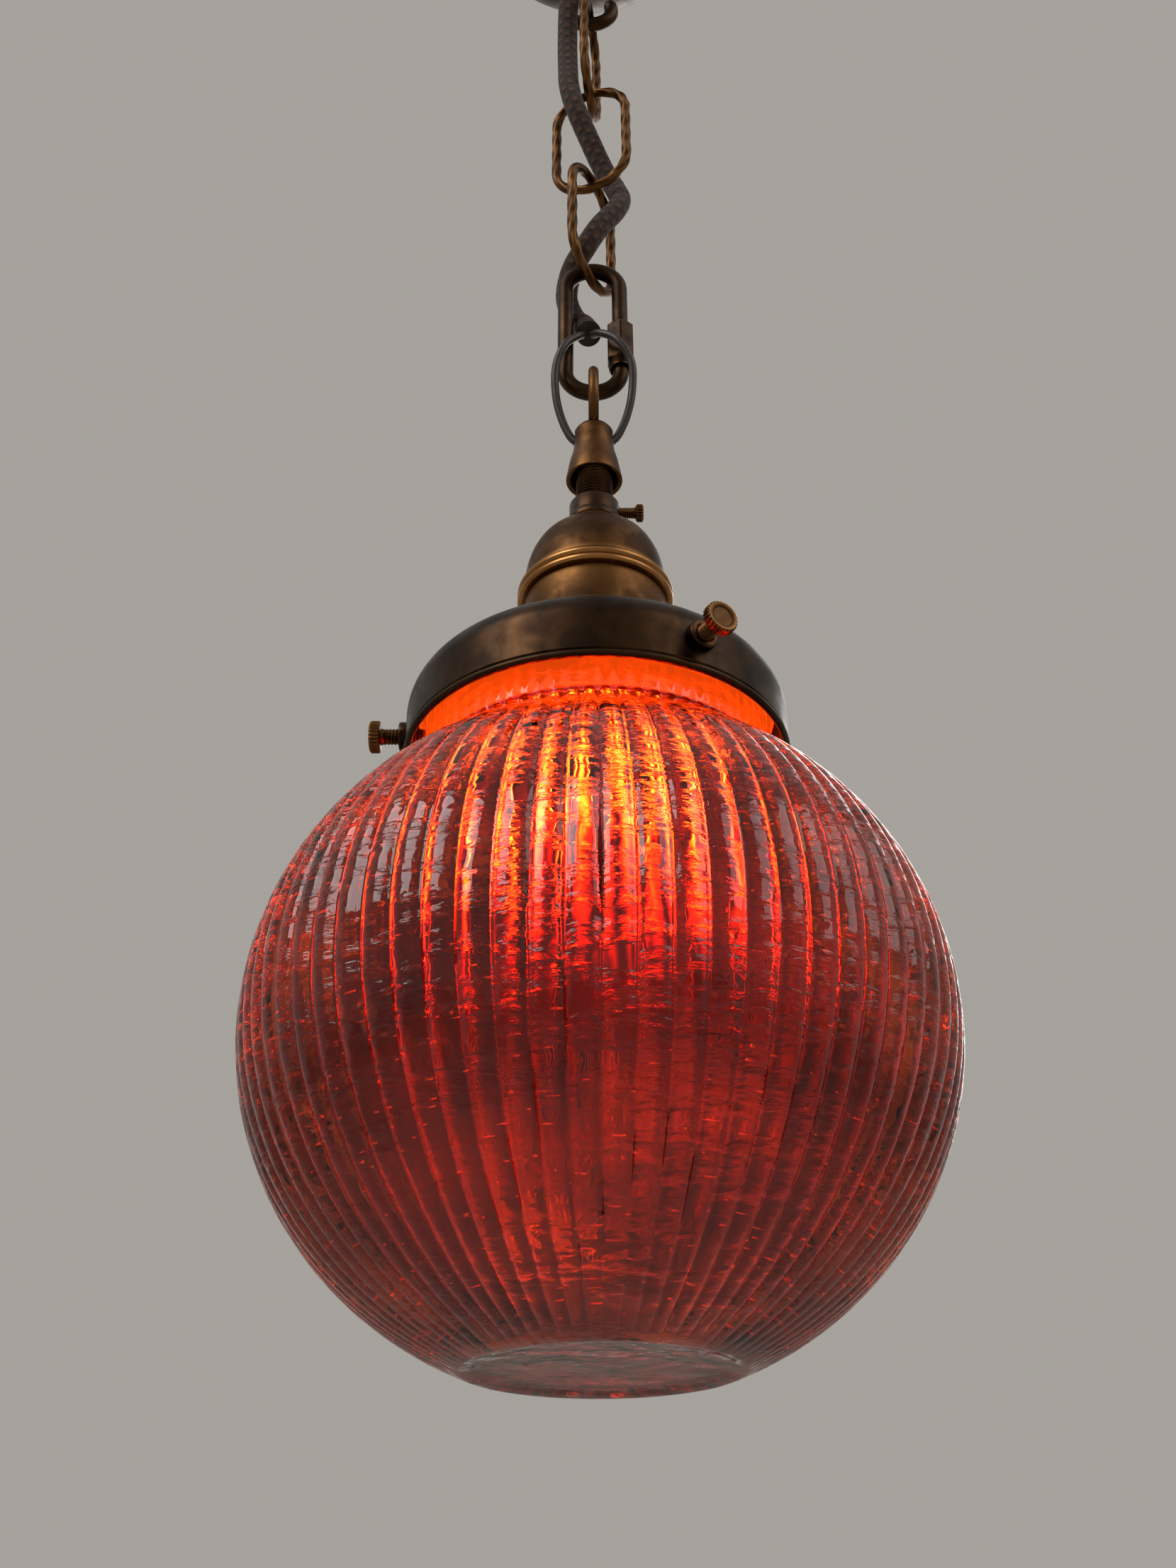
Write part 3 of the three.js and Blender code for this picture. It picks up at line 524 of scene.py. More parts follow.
def frames(points, closed=False):
    """A frame along a line of points, carried with no twist; a closed line's leftover twist is shared out."""
    total = len(points)
    ways = []
    for i in range(total):
        ahead = points[(i + 1) % total] if closed else points[min(i + 1, total - 1)]
        behind = points[i - 1] if closed else points[max(i - 1, 0)]
        ways.append((ahead - behind).normalized())
    side = ways[0].orthogonal().normalized()
    sides = [side]
    for i in range(1, total):
        side = ways[i - 1].rotation_difference(ways[i]) @ side
        sides.append((side - ways[i] * side.dot(ways[i])).normalized())
    twist = 0.0
    if closed:
        back = ways[-1].rotation_difference(ways[0]) @ sides[-1]
        twist = math.atan2(ways[0].dot(back.cross(sides[0])), back.dot(sides[0]))
    made = []
    for i in range(total):
        turned_side = Quaternion(ways[i], twist * i / total) @ sides[i]
        made.append((turned_side, ways[i].cross(turned_side)))
    return made


def swept(name, points, radius, finish, sides=20, closed=False, sharp=50, along=0.0):
    """A bar along points; radius(angle, run) is its section, run being the length so far."""
    axes = frames(points, closed)
    vertices, faces, uvs = [], [], []
    run, runs = along, []
    for i, point in enumerate(points):
        run += (point - points[i - 1]).length if i else 0.0
        runs.append(run)
        a, b = axes[i]
        for k in range(sides):
            angle = TAU * k / sides
            vertices.append(point + (a * math.cos(angle) + b * math.sin(angle)) * radius(angle, run))
    total = len(points)
    for i in range(total if closed else total - 1):
        j = (i + 1) % total
        for k in range(sides):
            n = (k + 1) % sides
            faces.append([i * sides + k, i * sides + n, j * sides + n, j * sides + k])
            v = (runs[i], runs[j] if j else runs[i] + (points[0] - points[i]).length)
            u = (k / sides, (k + 1) / sides)
            uvs += [(u[0], v[0]), (u[1], v[0]), (u[1], v[1]), (u[0], v[1])]
    if not closed:
        for end, order in ((0, 1), (total - 1, -1)):
            faces.append([end * sides + k for k in range(sides)][::order])
            uvs += [(k / sides, runs[end]) for k in range(sides)]
    return piece(name, vertices, faces, finish, uvs, sharp)


def route(hand_points, step):
    """A centripetal curve through points, as evenly spaced points."""
    points = [Vector(p) for p in hand_points]
    first, last = 2 * points[0] - points[1], 2 * points[-1] - points[-2]
    chain = [first, *points, last]
    fine = []
    for i in range(1, len(chain) - 2):
        p = chain[i - 1:i + 3]
        t = [0.0]
        for a, b in zip(p, p[1:]):
            t.append(t[-1] + (b - a).length ** 0.5)
        for k in range(24):
            x = t[1] + (t[2] - t[1]) * k / 24
            a = [p[n].lerp(p[n + 1], (x - t[n]) / (t[n + 1] - t[n])) for n in range(3)]
            b = [a[n].lerp(a[n + 1], (x - t[n]) / (t[n + 2] - t[n])) for n in range(2)]
            fine.append(b[0].lerp(b[1], (x - t[1]) / (t[2] - t[1])))
    fine.append(points[-1])
    even, left = [fine[0]], step
    for a, b in zip(fine, fine[1:]):
        length = (b - a).length
        while left <= length:
            even.append(a.lerp(b, left / length))
            left += step
        left -= length
    even.append(fine[-1])
    return even


def place(obj, direction, origin):
    """Stands a piece made about +Z along a direction from an origin, in its mesh."""
    turn = Vector((0, 0, 1)).rotation_difference(Vector(direction)).to_matrix().to_4x4()
    obj.data.transform(Matrix.Translation(Vector(origin)) @ turn)
    return obj


def drilled(radius, low, high, direction, origin, finish="dark_brass", sides=32):
    """A round bar to cut a hole with, from low to high along a direction from an origin."""
    bar = turned("drill", [(0, low), (radius, low), (radius, high), (0, high)], finish, sides)
    return place(bar, direction, origin)


def applied(obj, *changes):
    """The object's mesh after boolean changes, each (operation, other object); the others are removed."""
    for operation, other in changes:
        cut = obj.modifiers.new("cut", "BOOLEAN")
        cut.operation, cut.object, cut.solver = operation, other, "EXACT"
    bpy.context.view_layer.update()
    shape = obj.evaluated_get(bpy.context.evaluated_depsgraph_get())
    mesh = bpy.data.meshes.new_from_object(shape)
    obj.modifiers.clear()
    old, obj.data = obj.data, mesh
    bpy.data.meshes.remove(old)
    for _, other in changes:
        bpy.data.objects.remove(other)
    mesh.shade_smooth()
    mesh.set_sharp_from_angle(angle=math.radians(40))
    return obj


def stand_in(obj, node):
    """The piece rides on the CAD node's body and stands for the node."""
    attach(obj, next(b for b, nodes in frame["record"]["behaviour"]["bodies"].items() if node in nodes))
    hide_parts(node)
    return obj


def ridges(depth, teeth, low, high):
    """Straight knurling between two heights."""
    def shape(angle, r, z):
        return r - depth * (0.5 - 0.5 * math.cos(teeth * angle)) if low < z < high else r
    return shape


def thread(pitch, depth, low, high, beyond=0.0):
    """A cut thread between two heights, on walls outside the given radius."""
    def shape(angle, r, z):
        if not low < z < high or r < beyond:
            return r
        turn = (z / pitch + angle / TAU) % 1.0
        ease = min(1.0, (z - low) / pitch, (high - z) / pitch)
        return r - depth * abs(2 * turn - 1) * ease
    return shape


# ------------------------------------------------------------------ pieces
class PendantOperator:
    bl_options = {"REGISTER", "UNDO"}


class PENDANT_OT_stage(PendantOperator, bpy.types.Operator):
    """Camera at the lamp's usual viewing angle from below, pale floor and soft studio light"""
    bl_idname = "pendant.stage"
    bl_label = "Stage and camera"

    def execute(self, context):
        look = settings("light")
        scene = context.scene
        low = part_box("globe")[0]
        radius, _, height, _, _ = globe_shape()
        middle = Vector((0, 0, height))
        lens = bpy.data.cameras.new("camera")
        lens.sensor_width, lens.lens = 36.0, 35.8
        lens.clip_start = 0.01
        camera = bpy.data.objects.new("camera", lens)
        scene.collection.objects.link(camera)
        camera.location = middle + Vector((-0.028, -4.12, -1.665)) * radius
        camera.rotation_mode = "XYZ"
        pitch, roll = math.radians(90 + 31.3), math.radians(-0.33)
        camera.matrix_world = (Matrix.Translation(camera.location)
                               @ Matrix.Rotation(pitch, 4, "X") @ Matrix.Rotation(roll, 4, "Z"))
        scene.camera = camera
        scene.view_settings.view_transform = "Standard"

        world = bpy.data.worlds.new("studio")
        scene.world = world
        world.use_nodes = True
        backdrop = world.node_tree.nodes["Background"]
        backdrop.inputs["Color"].default_value = linear(look.backdrop)
        backdrop.inputs["Strength"].default_value = 0.55

        tiles, half, drop = 24, 12.0, 1.1
        floor_z = low.z - drop
        side = 2 * half / tiles
        row = tiles + 1
        spots = [(-half + i * side, -half + j * side, floor_z) for j in range(row) for i in range(row)]
        quads = [[j * row + i, j * row + i + 1, (j + 1) * row + i + 1, (j + 1) * row + i]
                 for j in range(tiles) for i in range(tiles)]
        mesh = bpy.data.meshes.new("studio_floor")
        mesh.from_pydata(spots, [], quads)
        mesh.materials.append(studio_paint("studio_floor_paint", look.floor))
        floor = bpy.data.objects.new("studio_floor", mesh)
        scene.collection.objects.link(floor)

        for name, spot, power, width in (
                ("key", (-1.3, -1.1, 1.1), 22, 1.3),
                ("fill", (1.5, -0.9, 0.9), 10, 1.4),
                ("back", (0.5, 1.8, 0.7), 10, 1.3)):
            lamp = bpy.data.lights.new(name, "AREA")
            lamp.energy, lamp.size = power, width
            light = bpy.data.objects.new(name, lamp)
            scene.collection.objects.link(light)
            aim = Vector((0, 0, -0.35)) - Vector(spot)
            light.matrix_world = Matrix.Translation(spot) @ aim.to_track_quat("-Z", "Y").to_matrix().to_4x4()
        return {"FINISHED"}


# The flex's route: in front of the hook, left of the first link, through the next
# two and into the quick link, where the braid ends and the two cores part.
FLEX_ROUTE = [(x * MM, y * MM, z * MM) for x, y, z in (
    (0, -20, -15.6), (0, -22, -20.5), (0, -24.9, -26.4), (0, -28.1, -31.4), (0, -31.1, -36.2),
    (-1, -30, -46.5),
    (-3, -22, -60), (-5.5, -13.5, -74), (-7, -8.2, -90), (-7.4, -4, -105), (-7.2, -3.6, -118),
    (-6.8, -4.6, -128), (-4.8, -4, -138), (-0.6, 0, -148), (4, 4, -158), (7.6, 5, -166),
    (8.8, 3, -173), (7, 0.6, -181), (2.2, -0.8, -190), (-1.4, -0.4, -197), (-6, 3.4, -204),
    (-7.6, 6.6, -211.5), (-5.8, 6.4, -220), (-2.6, 4, -227.5), (-1.4, 0.8, -233))]
CORE_ROUTES = {
    "left": [(x * MM, y * MM, z * MM) for x, y, z in (
        (-2.7, -0.2, -235), (-4, -3.6, -239), (-7.6, -5.4, -244), (-10.2, -4.6, -251),
        (-10.4, -2.6, -260), (-8.8, -0.9, -268))],
    "right": [(x * MM, y * MM, z * MM) for x, y, z in (
        (-0.2, -0.8, -235.6), (2, -4.6, -239), (6.6, -6.9, -244), (10.4, -5.7, -251),
        (10.6, -3, -260), (8.9, -1, -268))],
}


class PENDANT_OT_flex(PendantOperator, bpy.types.Operator):
    """Braided flex woven through the chain, and the two cores that it ends in"""
    bl_idname = "pendant.flex"
    bl_label = "Flex and cores"

    def execute(self, context):
        look = settings("flex")
        radius = FLEX_RADIUS
        points = route(FLEX_ROUTE, 0.55 * MM)

        def braid(angle, run):
            turn = look.carriers * (angle / TAU)
            lay = look.carriers * run / look.lay
            up = abs(math.sin(math.pi * (turn + lay)))
            down = abs(math.sin(math.pi * (turn - lay)))
            return radius - look.relief + look.relief * max(up, down)

        links = [f"link_{n + 1}" for n in range(3)]
        bodies = ["ceiling_mount", *links, "quick_link"]
        hinges = [j["pos_m"][2] for j in frame["joints"] if j.get("pos_m") and j["child"] in bodies]
        cuts = [(a + b) / 2 for a, b in zip(hinges, hinges[1:])] + [points[-1].z - 1]
        first = 0
        run = 0.0
        for n, (hinge, cut) in enumerate(zip(hinges, cuts)):
            last = next((i for i, p in enumerate(points) if p.z < cut), len(points) - 1)
            stretch = points[first:last + 1]
            name = f"flex_{n + 1}"
            made = swept(name, stretch, braid, "brown_braid", 64, along=run)
            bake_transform(made)
            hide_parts("flex_cord")
            run += sum((b - a).length for a, b in zip(stretch, stretch[1:]))
            first = last
        tail = points[-16:]
        end = tail[-1] + (tail[-1] - tail[-2]).normalized() * 1.2 * MM
        wrap = swept("flex_end_sleeve", tail + [end],
                     lambda a, s: radius + (0.35 + 0.08 * math.sin(s / MM * 5)) * MM, "core_sleeve", 40)
        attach(wrap, "quick_link")

        stem_low, stem_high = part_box("threaded_stem")
        inside = CORE_RADIUS + CORE_SPREAD
        meet = stem_high.z + (8.1 + 0.4 - 7) * MM
        hinge = next(j for j in frame["joints"] if j["child"] == "lamp")["pos_m"][2]
        for name, side in (("left", -1), ("right", 1)):
            block_low, block_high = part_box(f"terminal_{name}")
            hole = [(side * (inside + s * MM * math.sin(WIRE_HOLE_LEAN)), 0,
                     meet + s * MM * math.cos(WIRE_HOLE_LEAN)) for s in (7, 4.5, 2)]
            down = [(side * inside, 0, z) for z in (meet - 3 * MM, stem_high.z - 8 * MM, stem_low.z + 1 * MM)]
            turn = (block_low.x + block_high.x) / 2
            ends = [(turn * 0.6, 0, block_high.z + 6 * MM), (turn, 0, block_high.z + 1.4 * MM)]
            line = route(CORE_ROUTES[name] + hole + down + ends, 0.8 * MM)
            core = swept(f"core_{name}_wire", line, lambda a, s: CORE_RADIUS, "core_sleeve", 20)
            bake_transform(core)
            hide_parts(f"core_{name}")
        return {"FINISHED"}


class PENDANT_OT_ceiling(PendantOperator, bpy.types.Operator):
    """Canopy, ceiling hook and the grommet that the flex comes through"""
    bl_idname = "pendant.ceiling"
    bl_label = "Ceiling fitting"

    def execute(self, context):
        edge = settings("brass").edge
        low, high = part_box("canopy")
        crown, wall = 9 * MM, 1.2 * MM
        rim = high.x
        across, deep = rim - crown, high.z - low.z
        outer = arc((crown, high.z), (across, -deep), 4, 90, 40)
        bead = arc((rim - 0.6 * MM, high.z - 1.3 * MM), 1.1 * MM, -80, 70, 8)
        inner = arc((crown, high.z), (across - wall, -deep + wall), 90, 0, 40)
        bore = 3.4 * MM
        foot = [(rim - wall, high.z), (rim, high.z)]
        ring = [(r, z) for r, z in bead[::-1] if r < rim + 1 * MM]
        profile = foot + ring + outer + [(bore, low.z), (bore, low.z + wall)] + inner[:-1]
        canopy = turned("canopy_dome", profile, "dark_brass", 160)
        grommet_low, grommet_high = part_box("cord_grommet")
        centre = (grommet_low + grommet_high) / 2
        lean = math.radians(58)
        normal = Vector((0, -deep * math.cos(lean), -across * math.sin(lean))).normalized()
        drill = drilled(4.65 * MM, -6 * MM, 6 * MM, normal, centre, sides=48)
        stand_in(applied(canopy, ("DIFFERENCE", drill)), "canopy")

        lip, waist, bore = 5.85 * MM, 4.25 * MM, 3.65 * MM
        half, rim_h = 1.5 * MM, 1.5 * MM
        ring = [(bore, -half - rim_h), (lip - 1 * MM, -half - rim_h), (lip, -half), (waist, -half),
                (waist, half), (lip, half), (lip - 1 * MM, half + rim_h), (bore, half + rim_h)]
        grommet = turned("cord_bush", rounded(ring, 0.5 * MM), "black_rubber", 64)
        stand_in(place(grommet, normal, centre), "cord_grommet")

        low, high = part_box("ceiling_hook")
        rod, bowl = HOOK_ROD, 7.25 * MM
        collar_r, collar_h = high.y, 4 * MM
        base = low.z + rod + bowl
        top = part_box("canopy")[0].z - 0.4 * MM
        rise = (top - collar_h - base) / 3
        bend = arc((0, base), bowl, 35, -190, 44)
        swan = [(-bowl * 0.55, base + rise * 1.15), (-bowl * 0.12, base + rise * 1.9),
                (0, base + rise * 2.5), (0, top - collar_h + 1 * MM)]
        line = route([(x, 0, z) for x, z in bend + swan], 1.0 * MM)
        hook = swept("hook_rod", line, lambda a, s: rod * min(1.0, 0.55 + s / (3 * MM)), "dark_brass", 28)
        collar = turned("hook_collar", rounded(
            [(0, top - collar_h), (collar_r - 1.5 * MM, top - collar_h), (collar_r, top - collar_h * 0.55),
             (collar_r, top), (0, top)], edge * 2), "dark_brass", 96)
        stud_low, stud_high = top - 1 * MM, high.z
        stud_wall = upright(stud_low, stud_high, 3 * MM, 0.1 * MM)
        stud = turned("hook_stud", [(0, stud_low), *stud_wall, (0, stud_high)],
                      "dark_brass", 48, thread(1 * MM, 0.25 * MM, top + 1 * MM, stud_high))
        stand_in(applied(hook, ("UNION", collar), ("UNION", stud)), "ceiling_hook")
        return {"FINISHED"}


def stadium(length, width, wire, steps, start=0.0, stop=1.0):
    """Points of an oval in the XZ plane round the origin, from the middle of its right leg."""
    end_r = width / 2 - wire
    leg = length / 2 - wire - end_r
    total = 4 * leg + TAU * end_r
    points = []
    for i in range(steps):
        s = (start + (stop - start) * i / (steps if stop - start >= 1 else steps - 1)) * total
        if s < leg:
            points.append(Vector((end_r, 0, s)))
        elif s < leg + math.pi * end_r:
            a = (s - leg) / end_r
            points.append(Vector((end_r * math.cos(a), 0, leg + end_r * math.sin(a))))
        elif s < 3 * leg + math.pi * end_r:
            points.append(Vector((-end_r, 0, 2 * leg + math.pi * end_r - s)))
        elif s < 3 * leg + TAU * end_r:
            a = math.pi + (s - 3 * leg - math.pi * end_r) / end_r
            points.append(Vector((end_r * math.cos(a), 0, -leg + end_r * math.sin(a))))
        else:
            points.append(Vector((end_r, 0, s - total)))
    return points


class PENDANT_OT_chain(PendantOperator, bpy.types.Operator):
    """Three oval links of twisted wire, the quick link and its sleeve nut"""
    bl_idname = "pendant.chain"
    bl_label = "Chain"

    def execute(self, context):
        look = settings("brass")
        wire = 1.5 * MM
        for n, azimuth in enumerate(LINK_AZIMUTHS):
            low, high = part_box(f"chain_link_{n + 1}")
            middle = (low + high) / 2
            points = stadium(LINK_LENGTH, LINK_WIDTH, wire, 180)
            total = sum((b - a).length for a, b in zip(points, points[1:] + points[:1]))
            turns = round(total / look.twist)

            def section(angle, run, turns=turns, total=total):
                way = 2 * (angle - TAU * turns * run / total / 2)
                return wire * (0.94 + 0.08 * math.cos(2 * way))

            link = swept(f"link_{n + 1}_wire", points, section, "aged_brass", 24, closed=True)
            turn = Matrix.Rotation(math.radians(azimuth), 4, "Z")
            link.data.transform(Matrix.Translation((0, 0, middle.z)) @ turn)
            stand_in(link, f"chain_link_{n + 1}")

        low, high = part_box("quick_link")
        middle = (low + high) / 2
        rod = HOOK_ROD
        length, width = high.z - low.z, high.x - low.x
        end_r = width / 2 - rod
        leg = length / 2 - rod - end_r
        total = 4 * leg + TAU * end_r
        sleeve_low, sleeve_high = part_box("quick_link_sleeve")
        mouth = 8 * MM
        mouth_low = (sleeve_low.z + sleeve_high.z) / 2 - mouth / 2 - middle.z
        points = stadium(length, width, rod, 220, (mouth_low + mouth) / total, 1 + mouth_low / total)
        link = swept("quick_link_rod", points, lambda a, s: rod, "dark_brass", 28)
        link.data.transform(Matrix.Translation(middle))
        stand_in(link, "quick_link")

        centre = (sleeve_low + sleeve_high) / 2
        tall = sleeve_high.z - sleeve_low.z
        outer = (sleeve_high.x - sleeve_low.x) / 2
        bore = rod + 0.5 * MM
        collar = 2.6 * MM
        profile = [(bore, -tall / 2), (outer * 0.8, -tall / 2)]
        profile += upright(-tall / 2 + 0.5 * MM, -tall / 2 + collar, outer * 0.86, 0.2 * MM)
        profile += upright(-tall / 2 + collar + 0.5 * MM, tall / 2 - 0.9 * MM, outer, 0.5 * MM)
        profile += [(outer * 0.8, tall / 2), (bore, tall / 2)]

        def hexed(angle, r, z):
            if r < bore + 0.2 * MM:
                return r
            if z < -tall / 2 + collar + 0.1 * MM:
                return r - 0.22 * MM * (0.5 - 0.5 * math.cos(TAU * (z + tall / 2) / (0.85 * MM)))
            flat = (angle + math.pi / 6) % (math.pi / 3) - math.pi / 6
            return min(r, outer * 0.9 / math.cos(flat))

        nut = turned("sleeve_nut", profile, "dark_brass", 144, hexed, 28)
        nut.data.transform(Matrix.Translation(centre))
        stand_in(nut, "quick_link_sleeve")
        return {"FINISHED"}


class PENDANT_OT_neck(PendantOperator, bpy.types.Operator):
    """Loop and bell, hollow stem, and the collar with its grip screw"""
    bl_idname = "pendant.neck"
    bl_label = "Loop, stem and collar"

    def execute(self, context):
        look = settings("brass")
        edge = look.edge
        low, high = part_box("loop_neck")
        ring_rod = 1.4 * MM
        outer = high.y
        ring = outer - ring_rod
        neck_top = high.z - 2 * outer + ring_rod
        bell_low, bell_r = low.z, high.x
        top_r, stem_r, way = 5.4 * MM, 4.8 * MM, 3.4 * MM
        throat = bell_low + 5 * MM
        profile = [(0, neck_top + 0.9 * MM), (top_r - 1 * MM, neck_top + 0.9 * MM),
                   (top_r, neck_top - 0.6 * MM), (top_r, neck_top - 5 * MM),
                   (top_r + 0.3 * MM, neck_top - 8 * MM),
                   (bell_r - 1 * MM, neck_top - 11 * MM), (bell_r - 0.4 * MM, bell_low + 3 * MM),
                   (bell_r, bell_low + 0.6 * MM), (bell_r, bell_low), (bell_r - 1.1 * MM, bell_low),
                   (bell_r - 2.1 * MM, throat - 2 * MM), (stem_r + 0.4 * MM, throat),
                   (stem_r + 0.4 * MM, throat + 4.5 * MM), (way, throat + 4.5 * MM),
                   (way, neck_top - 2.5 * MM), (0, neck_top - 1.8 * MM)]
        neck = turned("loop_and_bell", rounded(profile, edge * 1.5), "aged_brass", 96)
        circle = [Vector((0, ring * math.cos(TAU * i / 96), neck_top + ring + ring * math.sin(TAU * i / 96)))
                  for i in range(96)]
        eye = swept("eye", circle, lambda a, s: ring_rod, "aged_brass", 24, closed=True)
        changes = [("UNION", eye)]
        for side in (-1, 1):
            lean = (side * math.sin(WIRE_HOLE_LEAN), 0, math.cos(WIRE_HOLE_LEAN))
            start = (side * 1.6 * MM, 0, neck_top - 7 * MM)
            changes.append(("DIFFERENCE", drilled(1.85 * MM, -1 * MM, 11 * MM, lean, start, "aged_brass")))
        stand_in(applied(neck, *changes), "loop_neck")

        low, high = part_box("threaded_stem")
        profile = [(way, low.z), *upright(low.z, high.z, stem_r, 0.1 * MM), (way, high.z)]
        stem = turned("hollow_stem", profile, "dark_brass", 64,
                      thread(look.fine_thread * 1.25, 0.45 * MM, low.z, high.z, stem_r - 0.2 * MM))
        stand_in(stem, "threaded_stem")

        low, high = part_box("cord_grip_collar")
        collar_r, bore = high.x, stem_r + 0.4 * MM
        tall = high.z - low.z
        profile = [(bore, low.z), (collar_r, low.z), (collar_r, low.z + tall * 0.2),
                   (collar_r - 0.6 * MM, low.z + tall * 0.32), (collar_r - 0.6 * MM, high.z - 1.2 * MM),
                   (collar_r - 1.3 * MM, high.z), (bore, high.z)]
        collar = turned("grip_collar", rounded(profile, edge), "dark_brass", 96)
        screw_low, screw_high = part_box("cord_grip_screw")
        height = (screw_low.z + screw_high.z) / 2
        drill = drilled(1.9 * MM, 0, 2 * collar_r, (1, 0, 0), (0, 0, height))
        stand_in(applied(collar, ("DIFFERENCE", drill)), "cord_grip_collar")
        head_r = (screw_high.z - screw_low.z) / 2
        screw = self.screw(
            "grip_thumbscrew", screw_low.x, screw_high.x, 2 * MM, head_r, 1.5 * MM, 0.5 * MM, 18)
        stand_in(place(screw, (1, 0, 0), (0, 0, height)), "cord_grip_screw")
        return {"FINISHED"}

    @staticmethod
    def screw(name, tip, end, head, head_r, shank_r, pitch, teeth, finish="aged_brass"):
        """A knurled thumbscrew along +Z from its tip to its head's end."""
        look = settings("brass")
        under = end - head
        shank = upright(tip + 0.5 * MM, under - 0.2 * MM, shank_r, pitch / 8)
        knurled = upright(under + 0.35 * MM, end - 0.35 * MM, head_r, 0.3 * MM)
        dished = [(head_r - 1.1 * MM, end), (head_r - 1.6 * MM, end - 0.35 * MM), (0, end - 0.25 * MM)]
        profile = [(0, tip), (shank_r - 0.4 * MM, tip), *shank, (shank_r + 0.1 * MM, under - 0.05 * MM),
                   (head_r - 0.5 * MM, under), *knurled, (head_r - 0.4 * MM, end), *dished]
        cut = thread(pitch, pitch * 0.4, tip, under - 0.1 * MM)
        knurl = ridges(look.knurl_depth, teeth, under + 0.2 * MM, end - 0.2 * MM)

        def shape(angle, r, z):
            on_head = r > shank_r + 0.3 * MM and r > head_r - 0.3 * MM
            return knurl(angle, r, z) if on_head else cut(angle, r, z)

        return turned(name, profile, finish, teeth * 8, shape, 35)


class PENDANT_OT_lampholder(PendantOperator, bpy.types.Operator):
    """Domed cap, beads, shell with its thread, and the two shade rings"""
    bl_idname = "pendant.lampholder"
    bl_label = "Lampholder"

    def execute(self, context):
        look = settings("brass")
        edge = look.edge
        low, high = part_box("lampholder_cap")
        holder_r, wall = high.x, 1.2 * MM
        crown_r = 8 * MM
        shoulder, bend = holder_r - crown_r, (high.z - low.z) - 3 * MM
        bore = 5.2 * MM
        centre = (holder_r - shoulder, low.z)
        outer = arc(centre, (shoulder, bend), 0, 84, 36)
        inner = arc(centre, (shoulder - wall, bend - wall), 84, 0, 36)
        top = [(crown_r, high.z - 1 * MM), (crown_r - 0.3 * MM, high.z - 0.3 * MM),
               (crown_r - 0.9 * MM, high.z), (bore, high.z), (bore, high.z - 3 * MM)]
        stand_in(turned("domed_cap", [*outer, *top, *inner], "aged_brass", 160), "lampholder_cap")

        low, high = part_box("bead_ring")
        bead_rod, pitch = 1.15 * MM, high.z - low.z - 2.3 * MM
        bead_r = high.x - bead_rod
        band = high.x - bead_rod * 1.3
        rolls = [arc((bead_r, low.z + bead_rod + n * pitch), bead_rod, -85, 85, 14) for n in (0, 1)]
        profile = [(holder_r + 0.4 * MM, low.z), (band, low.z), *rolls[0], *rolls[1],
                   (band, high.z), (holder_r + 0.4 * MM, high.z)]
        stand_in(turned("rolled_beads", profile, "bright_brass", 160), "bead_ring")

        low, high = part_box("lampholder_shell")
        flange_r = high.x
        inner_r = holder_r - 1 * MM
        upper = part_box("shade_ring_upper")[1].z
        flange = upper + 12.4 * MM
        profile = [(inner_r, low.z), *upright(low.z, flange - 1.8 * MM, holder_r, 0.22 * MM),
                   *rounded([(holder_r, flange - 1.4 * MM), (flange_r, flange - 1.4 * MM),
                             (flange_r, flange), (holder_r, flange)], edge),
                   (holder_r, flange + 0.3 * MM), (holder_r, high.z), (inner_r, high.z)]
        pitch = 2 * MM
        shell = turned("holder_shell", profile, "aged_brass", 144,
                       thread(pitch, 0.5 * MM, low.z, flange - 1.8 * MM, holder_r - 0.2 * MM))
        stand_in(shell, "lampholder_shell")

        for which in ("upper", "lower"):
            low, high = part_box(f"shade_ring_{which}")
            ring_r, bore = high.x, holder_r + 0.4 * MM
            profile = [(bore, low.z), (ring_r - 0.6 * MM, low.z),
                       *upright(low.z + 0.5 * MM, high.z - 0.5 * MM, ring_r, 0.4 * MM),
                       (ring_r - 0.6 * MM, high.z), (bore, high.z)]
            teeth = 60
            knurl = ridges(0.4 * MM, teeth, low.z + 0.3 * MM, high.z - 0.3 * MM)

            def shape(angle, r, z, knurl=knurl, ring_r=ring_r):
                return knurl(angle, r, z) if r > ring_r - 0.3 * MM else r

            stand_in(turned(f"shade_ring_{which}_knurled", profile, "aged_brass", teeth * 5, shape, 35),
                     f"shade_ring_{which}")
        return {"FINISHED"}


